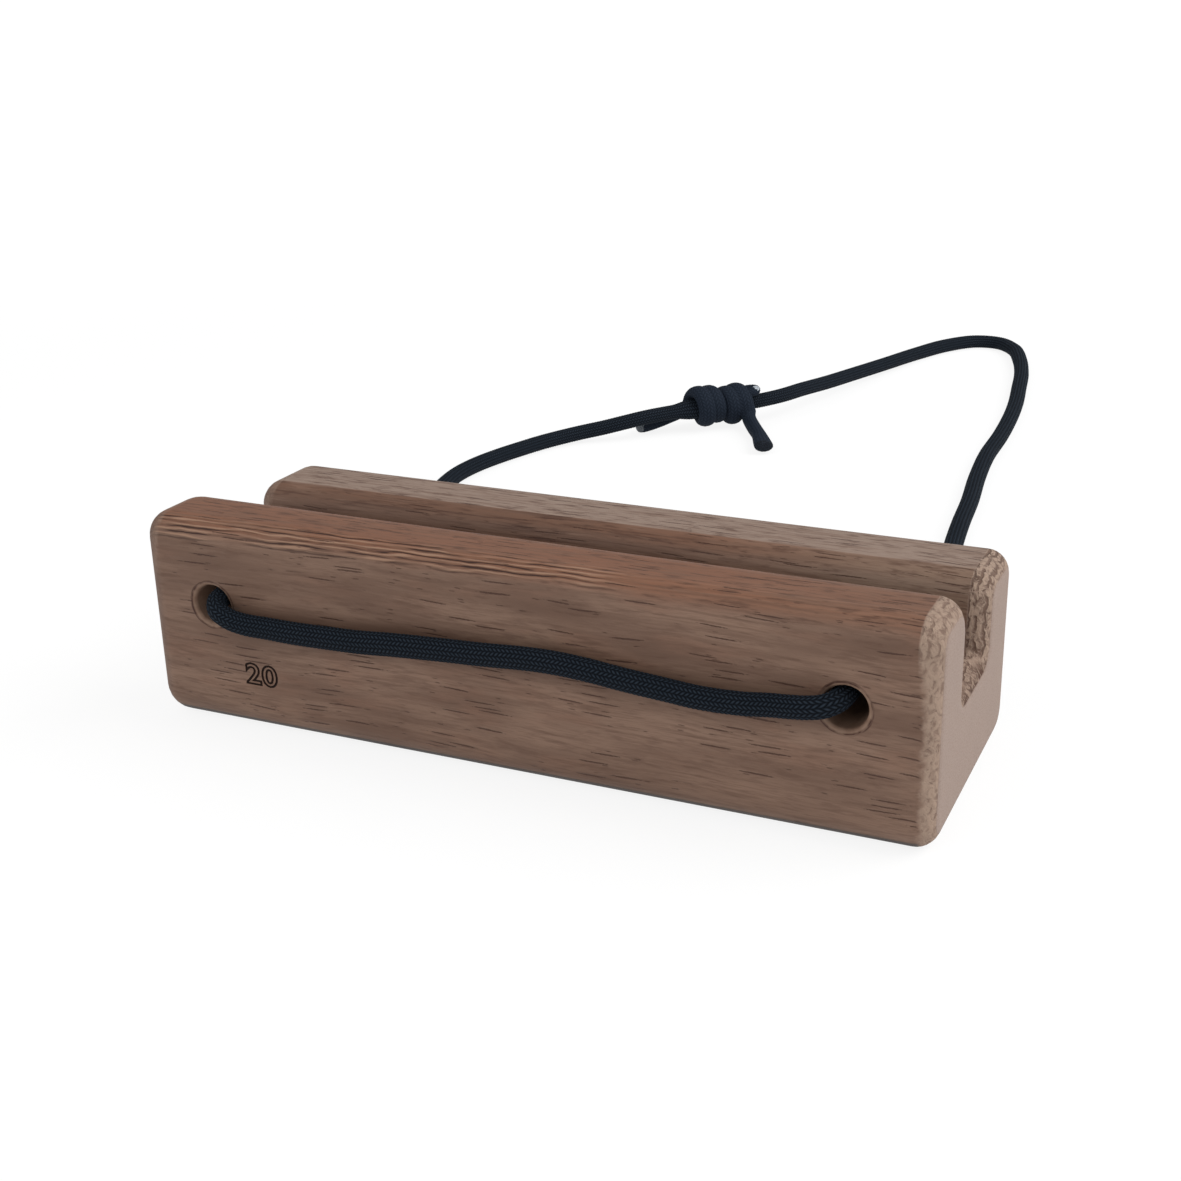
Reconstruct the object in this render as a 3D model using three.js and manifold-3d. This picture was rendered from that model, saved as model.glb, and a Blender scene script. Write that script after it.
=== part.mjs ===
// A portable hangboard: a slotted hardwood block on a knotted loop of cord.
// Sizes are in millimetres. X runs along the block, Y from its front face to its back face,
// and Z up from the face that it stands on. The origin is the middle of that face.

import * as THREE from 'three';
import { mergeVertices } from 'three/addons/utils/BufferGeometryUtils.js';
import Module from 'manifold-3d';

// Block
const blockLength = 160;
const frontWallThickness = 20;
const slotWidth = 16.5;
const backWallThickness = 20;
const floorThickness = 23.5;
const frontEdgeDepth = 20;
const backEdgeDepth = 15;
const leftEndLean = 2.4;

// Roundings of the block
const endRounding = 5;
const baseRounding = 6.5;
const topRounding = 5.2;
const gripRounding = 8;
const backGripRounding = 5.4;
const slotCornerRounding = 0.8;
const cornerSteps = 4;
const endRoundingSteps = 6;

// Cross holes
const holeInset = 16;
const holeHeight = 26.5;
const boreRadius = 4;
const holeRimRounding = 0.9;
const holeRimSteps = 4;
const holeSides = 32;
const cutOverrun = 2;

// Cord
const cordDiameter = 4;
const cordSides = 10;
const seatGap = 0.3;
const strandSteps = 90;
const leftLegSteps = 20;
const rightLegSteps = 56;
const noseShare = 0.92;
const noseRings = 7;

// Knot
const knotCentreX = -45.2;
const knotCentreY = 204.2;
const knotCentreHeight = 6.6;
const knotTurnFromX = 44.5;
const windingGap = 0.4;
const windingPitch = 4.5;
const windingTurns = 3.52;
const windingStart = 3;
const windingSides = 6;
const stepsPerTurn = 24;
const tailSteps = 16;

const cordRadius = cordDiameter / 2;
const blockDepth = frontWallThickness + slotWidth + backWallThickness;
const frontFace = -blockDepth / 2;
const backFace = blockDepth / 2;
const slotFront = frontFace + frontWallThickness;
const slotBack = slotFront + slotWidth;
const frontWallTop = floorThickness + frontEdgeDepth;
const backWallTop = floorThickness + backEdgeDepth;
const holeX = blockLength / 2 - holeInset;

// The cord lies one radius and one gap off the front face and off the bottom of the rear hole mouths,
// and the loop swings as far off the back face.
const frontLine = frontFace - cordRadius - seatGap;
const swingLine = backFace + cordRadius + seatGap;
const mouthHeight = holeHeight - boreRadius + cordRadius + seatGap;
const leftMouth = [-holeX, swingLine, mouthHeight];
const rightMouth = [holeX, swingLine, mouthHeight];

const wasm = await Module();
wasm.setup();

const wood = { color: 0x9b7a63, roughness: 0.7, metalness: 0 };
const braid = { color: 0x1c222b, roughness: 0.85, metalness: 0 };

// A closed three.js geometry as a solid that can be joined and cut
function toSolid(geometry) {
  const bare = geometry.clone();
  bare.deleteAttribute('normal');
  bare.deleteAttribute('uv');
  const merged = mergeVertices(bare);
  const corners = merged.index.array;
  const kept = [];
  for (let i = 0; i < corners.length; i += 3) {
    const [a, b, c] = corners.slice(i, i + 3);
    if (a !== b && b !== c && c !== a) {
      kept.push(a, b, c);
    }
  }
  const vertProperties = new Float32Array(merged.attributes.position.array);
  return new wasm.Manifold(new wasm.Mesh({ numProp: 3, vertProperties, triVerts: new Uint32Array(kept) }));
}

// The solid's surface as a three.js geometry
function toGeometry(solid) {
  const mesh = solid.getMesh();
  const geometry = new THREE.BufferGeometry();
  const positions = new Float32Array(mesh.vertProperties);
  geometry.setAttribute('position', new THREE.BufferAttribute(positions, mesh.numProp));
  geometry.setIndex(new THREE.BufferAttribute(new Uint32Array(mesh.triVerts), 1));
  geometry.computeVertexNormals();
  return geometry;
}

function named(name, geometry, finish) {
  const mesh = new THREE.Mesh(geometry, new THREE.MeshStandardMaterial(finish));
  mesh.name = name;
  return mesh;
}

// The block's section seen from its right-hand end: two walls of different height over one floor
function blockSection() {
  const right = 0;
  const up = Math.PI / 2;
  const left = Math.PI;
  const down = -Math.PI / 2;
  const section = new THREE.Shape();
  section.moveTo(frontFace + baseRounding, 0);
  section.lineTo(backFace - baseRounding, 0);
  section.absarc(backFace - baseRounding, baseRounding, baseRounding, down, right);
  section.absarc(backFace - topRounding, backWallTop - topRounding, topRounding, right, up);
  section.absarc(slotBack + backGripRounding, backWallTop - backGripRounding, backGripRounding, up, left);
  section.absarc(slotBack - slotCornerRounding, floorThickness + slotCornerRounding, slotCornerRounding,
    right, down, true);
  section.absarc(slotFront + slotCornerRounding, floorThickness + slotCornerRounding, slotCornerRounding,
    down, -left, true);
  section.absarc(slotFront - gripRounding, frontWallTop - gripRounding, gripRounding, right, up);
  section.absarc(frontFace + topRounding, frontWallTop - topRounding, topRounding, up, left);
  section.absarc(frontFace + baseRounding, baseRounding, baseRounding, left, left - down);
  return section;
}

// A bar of that section whose end faces are rounded over all the way round, the slot's edges too. Its left
// end is a little out of square: it leans in towards the back.
function blockBar() {
  const bar = new THREE.ExtrudeGeometry(blockSection(), {
    depth: blockLength - 2 * endRounding,
    steps: 1,
    curveSegments: cornerSteps,
    bevelEnabled: true,
    bevelThickness: endRounding,
    bevelSize: endRounding,
    bevelOffset: -endRounding,
    bevelSegments: endRoundingSteps,
  });
  bar.translate(0, 0, endRounding - blockLength / 2);
  const sectionAcross = new THREE.Vector3(0, 1, 0);
  const sectionUp = new THREE.Vector3(0, 0, 1);
  const along = new THREE.Vector3(1, 0, 0);
  bar.applyMatrix4(new THREE.Matrix4().makeBasis(sectionAcross, sectionUp, along));
  const places = bar.attributes.position;
  for (let i = 0; i < places.count; i++) {
    if (places.getX(i) < 0) {
      const shareBack = (places.getY(i) - frontFace) / blockDepth;
      places.setX(i, places.getX(i) + leftEndLean * shareBack);
    }
  }
  return bar;
}

// The tool that cuts one cross hole through both walls, flared at the front and back faces
function holeCutter(x) {
  const mouthRadius = boreRadius + holeRimRounding;
  const profile = [new THREE.Vector2(0, frontFace - cutOverrun)];
  profile.push(new THREE.Vector2(mouthRadius, frontFace - cutOverrun));
  for (let i = 0; i <= holeRimSteps; i++) {
    const turn = (Math.PI / 2) * (1 - i / holeRimSteps);
    const radius = mouthRadius - holeRimRounding * Math.cos(turn);
    profile.push(new THREE.Vector2(radius, frontFace + holeRimRounding * (1 - Math.sin(turn))));
  }
  for (let i = 0; i <= holeRimSteps; i++) {
    const turn = (Math.PI / 2) * (i / holeRimSteps);
    const radius = mouthRadius - holeRimRounding * Math.cos(turn);
    profile.push(new THREE.Vector2(radius, backFace - holeRimRounding * (1 - Math.sin(turn))));
  }
  profile.push(new THREE.Vector2(mouthRadius, backFace + cutOverrun));
  profile.push(new THREE.Vector2(0, backFace + cutOverrun));
  const cutter = new THREE.LatheGeometry(profile, holeSides);
  cutter.translate(x, 0, holeHeight);
  return cutter;
}

function woodBlock() {
  let block = toSolid(blockBar());
  for (const x of [-holeX, holeX]) {
    block = block.subtract(toSolid(holeCutter(x)));
  }
  return named('wood_block', toGeometry(block), wood);
}

// A round tube of cord along a curve
function cordTube(curve, steps, sides) {
  const section = new THREE.Shape();
  for (let i = 0; i < sides; i++) {
    const turn = (2 * Math.PI * i) / sides;
    const x = cordRadius * Math.cos(turn);
    const y = cordRadius * Math.sin(turn);
    if (i === 0) {
      section.moveTo(x, y);
    } else {
      section.lineTo(x, y);
    }
  }
  curve.arcLengthDivisions = steps * stepsPerTurn;
  return new THREE.ExtrudeGeometry(section, { steps, bevelEnabled: false, extrudePath: curve });
}

function curveThrough(points) {
  return new THREE.CatmullRomCurve3(points.map((p) => new THREE.Vector3(...p)));
}

// The cord in each hole, from the back wall to the front face: towards the block's middle and up from the
// hole's axis, and back from the front face, as [towards the middle, back, up]
const leftHoleRoute = [
  [0, 48, -1.4],
  [0, 36, -0.8],
  [0.1, 20, 0.4],
  [0.6, 10, 1],
  [0.9, 5.2, 1.1],
  [1, 1.6, 1],
  [1.7, -1, 0.7],
  [3.3, -2.7, 0.2],
  [5.6, -3.1, -0.5],
  [9, -2.6, -1.3],
];
const rightHoleRoute = [
  [0, 48, -1.4],
  [0, 36, -0.8],
  [0.1, 20, 0.4],
  [0.6, 10, 1],
  [0.8, 5.2, 1.2],
  [1, 1.6, 1.2],
  [1.7, -1, 1.1],
  [3.3, -2.7, 0.8],
  [5.6, -3.1, 0.4],
  [9, -2.6, -0.2],
];

// The cord across the front face: along as a share of the way from the middle to a hole's axis, and up from
// the holes' height as a share of the cord's diameter
const frontShares = [
  [-0.787, -0.45],
  [-0.697, -0.47],
  [-0.576, -0.42],
  [-0.46, -0.35],
  [-0.354, -0.19],
  [-0.254, -0.06],
  [-0.154, 0.04],
  [-0.053, 0.12],
  [0.072, 0.26],
  [0.167, 0.26],
  [0.277, 0.14],
  [0.377, -0.06],
  [0.516, -0.26],
  [0.606, -0.36],
  [0.726, -0.31],
  [0.805, -0.16],
];

// The stretch that the block holds: rear mouth, bore, slot, bore, front face, and back the same way
function strandRoute() {
  const inHole = (side) => ([inwards, back, up]) => (
    [side * (holeX - inwards), frontFace + back, holeHeight + up]
  );
  const left = leftHoleRoute.map(inHole(-1));
  const front = frontShares.map(([along, up]) => [along * holeX, frontLine, holeHeight + up * cordDiameter]);
  const right = rightHoleRoute.map(inHole(1)).reverse();
  return [[-holeX, backFace, mouthHeight], ...left, ...front, ...right, [holeX, backFace, mouthHeight]];
}

// The left leg: out of the left rear mouth, down to the surface, and up into the knot
const leftLegRoute = [
  leftMouth,
  [-64.1, 38, 24.5],
  [-65.2, 48, 22.4],
  [-68.3, 59, 18],
  [-73.1, 70.5, 12.6],
  [-79.3, 82.4, 7.6],
  [-85.5, 94.3, 4.2],
  [-90.7, 106.2, 2.6],
  [-93.9, 117, 2.2],
  [-95.2, 127.7, 2.2],
  [-94.4, 137.9, 2.2],
  [-92, 147.9, 2.2],
  [-89, 156.9, 2.2],
  [-85.9, 164.4, 2.3],
  [-82, 170.7, 2.6],
  [-77.7, 175.7, 3.1],
  [-72.3, 179.1, 4.1],
  [-66.6, 182.5, 5.4],
  [-61, 187.1, 6.4],
];

// The right leg: out of the knot, round the end of the loop, and back up to the right rear mouth
const rightLegRoute = [
  [-30.3, 220.6, 7],
  [-26.7, 231.2, 6.7],
  [-23, 246.2, 5.5],
  [-18.9, 264.8, 4.2],
  [-14, 285.1, 3],
  [-8.3, 304.8, 2.3],
  [-1.4, 320.2, 2.2],
  [6.8, 329.2, 2.2],
  [15.1, 329.4, 2.2],
  [21.9, 321.8, 2.2],
  [27, 307.3, 2.2],
  [31.1, 289.6, 2.2],
  [33.9, 271.7, 2.2],
  [36.6, 253.4, 2.2],
  [38.4, 235.8, 2.2],
  [39.6, 216.2, 2.2],
  [40.1, 195.6, 2.2],
  [42, 174.8, 2.2],
  [44.6, 154.8, 2.2],
  [46.5, 135.6, 2.2],
  [48.7, 118.2, 2.2],
  [51, 105.5, 2.6],
  [53.5, 93.8, 4.2],
  [56.1, 81.9, 7.6],
  [58.6, 69.9, 12.6],
  [61, 58.4, 18],
  [62.9, 47.5, 22.4],
  [63.9, 38, 24.5],
  rightMouth,
];

// The tails, given along the knot, across it towards the block, and up from the surface
const leftTailRoute = [
  [-25.2, -2.9, 2.2],
  [-21.2, -5.2, 2.2],
  [-17.2, -6.5, 2.2],
  [-13.4, -6.6, 2.2],
  [-10.7, -5.7, 2.4],
  [-8.9, -4.8, 3.5],
];
const rightTailRoute = [
  [8.2, 4.9, 4.7],
  [8, 6.7, 3],
  [6.8, 12.2, 2.2],
  [4.8, 20.1, 2.2],
  [2.9, 25.7, 2.2],
  [1.1, 30.8, 2.2],
];

// A place in the knot's own directions, as a point of the whole part
const knotTurn = THREE.MathUtils.degToRad(knotTurnFromX);
const knotAlong = new THREE.Vector3(Math.cos(knotTurn), Math.sin(knotTurn), 0);
const knotAcross = new THREE.Vector3(Math.sin(knotTurn), -Math.cos(knotTurn), 0);

function inKnot(along, across, height) {
  const place = new THREE.Vector3(knotCentreX, knotCentreY, height);
  place.addScaledVector(knotAlong, along);
  place.addScaledVector(knotAcross, across);
  return place.toArray();
}

// Both legs run straight through the knot and meet in its middle, one gap apart.
const windingLength = windingPitch * windingTurns;
const straightReach = windingLength / 2 + cordDiameter;

function strandThroughKnot(side) {
  const places = [side * straightReach, (side * straightReach) / 2, (side * seatGap) / 2];
  return places.map((along) => inKnot(along, 0, knotCentreHeight));
}

// A leg has a round nose on the swing line, so that its gap to the strand stays the same as it swings.
function cordLeg(name, points, steps, mouth) {
  const tube = toSolid(cordTube(curveThrough(points), steps, cordSides));
  const nose = new THREE.SphereGeometry(cordRadius * noseShare, cordSides, noseRings);
  nose.translate(...mouth);
  return named(name, toGeometry(tube.add(toSolid(nose))), braid);
}

// The knot's turns wind round the legs as a right-handed coil that clears them by one winding gap.
function windingPoints() {
  const radius = cordDiameter + windingGap;
  const points = [];
  const count = Math.round(windingTurns * stepsPerTurn);
  for (let i = 0; i <= count; i++) {
    const share = i / count;
    const turn = windingStart + 2 * Math.PI * windingTurns * share;
    const along = windingLength * (share - 1 / 2);
    points.push(inKnot(along, radius * Math.cos(turn), knotCentreHeight - radius * Math.sin(turn)));
  }
  return points;
}

// The least gap between the turns of a tube, measured on points that are half a turn or more apart
function leastGapToItself(curve, count, apart) {
  const points = curve.getSpacedPoints(count);
  let least = Infinity;
  for (let i = 0; i < points.length; i++) {
    for (let j = i + apart; j < points.length; j++) {
      least = Math.min(least, points[i].distanceTo(points[j]) - cordDiameter);
    }
  }
  return least;
}

function cordKnot() {
  const leftTail = leftTailRoute.map((place) => inKnot(...place));
  const rightTail = rightTailRoute.map((place) => inKnot(...place));
  const curve = curveThrough([...leftTail, ...windingPoints(), ...rightTail]);
  const steps = Math.round(windingTurns * stepsPerTurn) + 2 * tailSteps;
  const tube = cordTube(curve, steps, windingSides);
  const gap = leastGapToItself(curve, steps * 2, stepsPerTurn);
  console.log(`knot: least gap to itself ${gap.toFixed(2)} mm`);
  return named('cord_knot', tube, braid);
}

const leftLeg = [...leftLegRoute, ...strandThroughKnot(-1)];
const rightLeg = [...strandThroughKnot(1).reverse(), ...rightLegRoute];

const group = new THREE.Group();
group.add(woodBlock());
group.add(named('cord_front_strand', cordTube(curveThrough(strandRoute()), strandSteps, cordSides), braid));
group.add(cordLeg('cord_left_leg', leftLeg, leftLegSteps, leftMouth));
group.add(cordLeg('cord_right_leg', rightLeg, rightLegSteps, rightMouth));
group.add(cordKnot());

export default group;
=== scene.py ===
"""A portable hangboard: a slotted hardwood block on a knotted loop of braided cord.

Lengths are in metres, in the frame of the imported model, unless a class says that its own are in
millimetres. X runs along the block, Y from its front face to its back face, and Z up from the face
that it stands on.
"""

import logging
import math
from collections.abc import Callable, Sequence
from dataclasses import dataclass, field
from enum import Enum
from typing import Any

import bmesh
import bpy
import numpy as np
from mathutils import Matrix, Vector


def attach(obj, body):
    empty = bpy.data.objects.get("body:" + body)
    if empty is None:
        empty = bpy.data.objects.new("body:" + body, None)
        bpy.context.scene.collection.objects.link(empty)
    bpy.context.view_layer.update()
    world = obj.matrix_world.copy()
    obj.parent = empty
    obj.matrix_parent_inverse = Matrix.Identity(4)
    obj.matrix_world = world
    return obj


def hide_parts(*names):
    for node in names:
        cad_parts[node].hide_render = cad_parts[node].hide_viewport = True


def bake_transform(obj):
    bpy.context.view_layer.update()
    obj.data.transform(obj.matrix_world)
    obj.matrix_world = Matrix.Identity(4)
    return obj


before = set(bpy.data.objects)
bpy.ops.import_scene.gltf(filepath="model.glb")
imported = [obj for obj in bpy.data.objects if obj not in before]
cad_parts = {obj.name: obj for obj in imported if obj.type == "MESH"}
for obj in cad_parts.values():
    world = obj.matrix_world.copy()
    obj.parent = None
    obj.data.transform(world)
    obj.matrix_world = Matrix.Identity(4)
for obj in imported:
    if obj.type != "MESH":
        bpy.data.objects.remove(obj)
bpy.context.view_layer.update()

LOG = logging.getLogger("hangboard")
MM = 0.001
TOUCHING = MM / 100

Place = tuple[float, float, float]
Colour = tuple[int, int, int]
Span = tuple[float, float]


def metres(places: Sequence[Sequence[float]]) -> np.ndarray:
    """Places given in millimetres, as an array in metres."""
    return np.array(places, float) * MM


def linear(colour: Colour) -> tuple[float, float, float, float]:
    """A colour of 0 to 255 steps as the scene's linear colour, with full alpha."""
    steps = [part / 255 for part in colour]
    return (*[s / 12.92 if s <= 0.04045 else ((s + 0.055) / 1.055) ** 2.4 for s in steps], 1.0)


def smooth_step(values: np.ndarray, low: float, high: float) -> np.ndarray:
    """A soft ramp from 0 at low to 1 at high."""
    t = np.clip((values - low) / (high - low), 0, 1)
    return t * t * (3 - 2 * t)


# Shader sums


class Signal:
    """A shader value that sums can be written with."""

    def __init__(self, graph: "Graph", socket: bpy.types.NodeSocket) -> None:
        """Wraps one output socket of a graph."""
        self.graph = graph
        self.socket = socket

    def math(self, operation: str, *others: Any) -> "Signal":
        """Puts the value first into a Math node of that operation."""
        return self.graph.math(operation, self, *others)

    def __add__(self, other: Any) -> "Signal":
        """This value plus another."""
        return self.graph.math("ADD", self, other)

    __radd__ = __add__

    def __mul__(self, other: Any) -> "Signal":
        """This value times another."""
        return self.graph.math("MULTIPLY", self, other)

    __rmul__ = __mul__

    def __sub__(self, other: Any) -> "Signal":
        """This value less another."""
        return self.graph.math("SUBTRACT", self, other)

    def __rsub__(self, other: Any) -> "Signal":
        """Another value less this one."""
        return self.graph.math("SUBTRACT", other, self)

    def __truediv__(self, other: Any) -> "Signal":
        """This value divided by another."""
        return self.graph.math("DIVIDE", self, other)

    def __pow__(self, other: Any) -> "Signal":
        """This value to a power."""
        return self.graph.math("POWER", self, other)

    def __abs__(self) -> "Signal":
        """This value without its sign."""
        return self.graph.math("ABSOLUTE", self)

    def ramp(self, low: float, high: float) -> "Signal":
        """A soft ramp of this value, which falls where low is above high.

        Args:
            low: the value that gives 0.
            high: the value that gives 1.

        Returns:
            A value from 0 to 1.
        """
        if low > high:
            return 1 - self.ramp(high, low)
        node = self.graph.node(
            "ShaderNodeMapRange",
            {"interpolation_type": "SMOOTHSTEP"},
            {"Value": self, "From Min": low, "From Max": high},
        )
        return Signal(self.graph, node.outputs["Result"])


Triple = tuple[Signal, Signal, Signal]


class Graph:
    """The nodes of one material or world."""

    def __init__(self, owner: bpy.types.Material | bpy.types.World) -> None:
        """Empties the owner's node tree.

        Args:
            owner: the material or world that the nodes belong to.
        """
        owner.use_nodes = True
        self.owner = owner
        self.tree = owner.node_tree
        self.tree.nodes.clear()

    @classmethod
    def of_material(cls, name: str) -> "Graph":
        """Makes a material with an empty node tree."""
        return cls(bpy.data.materials.new(name))

    def node(
        self, kind: str, settings: dict[str, Any] | None = None, inputs: dict[Any, Any] | None = None
    ) -> bpy.types.Node:
        """Makes a node, sets it up, and fills its sockets.

        Args:
            kind: the node's type.
            settings: its settings, such as an operation.
            inputs: values or signals for its sockets, by name or number.

        Returns:
            The node.
        """
        node = self.tree.nodes.new(kind)
        for key, value in (settings or {}).items():
            setattr(node, key, value)
        for key, value in (inputs or {}).items():
            if isinstance(value, Signal):
                self.tree.links.new(value.socket, node.inputs[key])
            else:
                node.inputs[key].default_value = value
        return node

    def math(self, operation: str, *values: Any) -> Signal:
        """A Math node on signals and numbers."""
        node = self.node("ShaderNodeMath", {"operation": operation}, dict(enumerate(values)))
        return Signal(self, node.outputs[0])

    def vector(self, x: Any, y: Any, z: Any) -> Signal:
        """Three values as one vector."""
        return Signal(self, self.node("ShaderNodeCombineXYZ", inputs={0: x, 1: y, 2: z}).outputs[0])

    def split(self, vector: Signal) -> Triple:
        """The three parts of a vector."""
        outputs = self.node("ShaderNodeSeparateXYZ", inputs={0: vector}).outputs
        return Signal(self, outputs[0]), Signal(self, outputs[1]), Signal(self, outputs[2])

    def noise(
        self, vector: Signal, detail: float = 2, distortion: float = 0, roughness: float = 0.5
    ) -> Signal:
        """Smooth noise with features about one unit apart.

        Args:
            vector: where the noise is read.
            detail: how many finer layers it has.
            distortion: how much it is stirred.
            roughness: how strong the finer layers are.

        Returns:
            A value from 0 to 1.
        """
        inputs = {
            "Vector": vector, "Scale": 1.0, "Detail": detail, "Distortion": distortion,
            "Roughness": roughness,
        }
        return Signal(self, self.node("ShaderNodeTexNoise", inputs=inputs).outputs[0])

    def grain(self, here: Triple, size: Place, **settings: float) -> Signal:
        """Smooth noise with features of that size in millimetres along X, Y and Z."""
        return self.noise(self.vector(*[part / length for part, length in zip(here, size)]), **settings)

    def cells(self, vector: Signal) -> tuple[Signal, Signal]:
        """Points scattered about one unit apart in X and Y.

        Args:
            vector: where the points are looked for.

        Returns:
            The distance to the nearest point, and that point's random value.
        """
        inputs = {"Vector": vector, "Scale": 1.0, "Randomness": 1.0}
        node = self.node("ShaderNodeTexVoronoi", {"voronoi_dimensions": "2D"}, inputs)
        random, _, _ = self.split(Signal(self, node.outputs["Color"]))
        return Signal(self, node.outputs["Distance"]), random

    def mix(self, factor: Any, below: Any, above: Any) -> Signal:
        """Lays one colour over another.

        Args:
            factor: how much of the upper colour shows, from 0 to 1.
            below: the lower colour, in 0 to 255 steps or as a signal.
            above: the upper colour, in the same way.

        Returns:
            The mixed colour.
        """
        colours = [c if isinstance(c, Signal) else linear(c) for c in (below, above)]
        inputs = {0: factor, 6: colours[0], 7: colours[1]}
        return Signal(self, self.node("ShaderNodeMix", {"data_type": "RGBA"}, inputs).outputs[2])

    def place(self) -> Triple:
        """Where a point of the surface is.

        Returns:
            Its X, Y and Z in millimetres.
        """
        coordinates = self.node("ShaderNodeTexCoord")
        x, y, z = self.split(Signal(self, coordinates.outputs["Object"]))
        return x / MM, y / MM, z / MM

    def facing(self) -> Triple:
        """The surface's own direction, in the part's frame."""
        coordinates = self.node("ShaderNodeTexCoord")
        return self.split(Signal(self, coordinates.outputs["Normal"]))

    def surface(self, colour: Signal, roughness: Any, height: Signal, constants: dict[str, Any]) -> None:
        """Finishes the material with a principled surface.

        Args:
            colour: the base colour.
            roughness: a number or a signal.
            height: how far the surface stands out, in millimetres.
            constants: other sockets of the surface, which are the same all over.
        """
        bump = self.node("ShaderNodeBump", inputs={"Height": height, "Distance": MM, "Strength": 1.0})
        normal = Signal(self, bump.outputs[0])
        inputs = {"Base Color": colour, "Roughness": roughness, "Normal": normal, **constants}
        shader = self.node("ShaderNodeBsdfPrincipled", inputs=inputs)
        self.node("ShaderNodeOutputMaterial", inputs={"Surface": Signal(self, shader.outputs[0])})


# Finishes


HOLE_X = 64.0
HOLE_Z = 26.5


def from_hole(here: Triple) -> Signal:
    """How far a place is from the middle of the hole on its side, in millimetres."""
    across, up = abs(here[0]) - HOLE_X, here[2] - HOLE_Z
    return (across * across + up * up) ** 0.5


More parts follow.
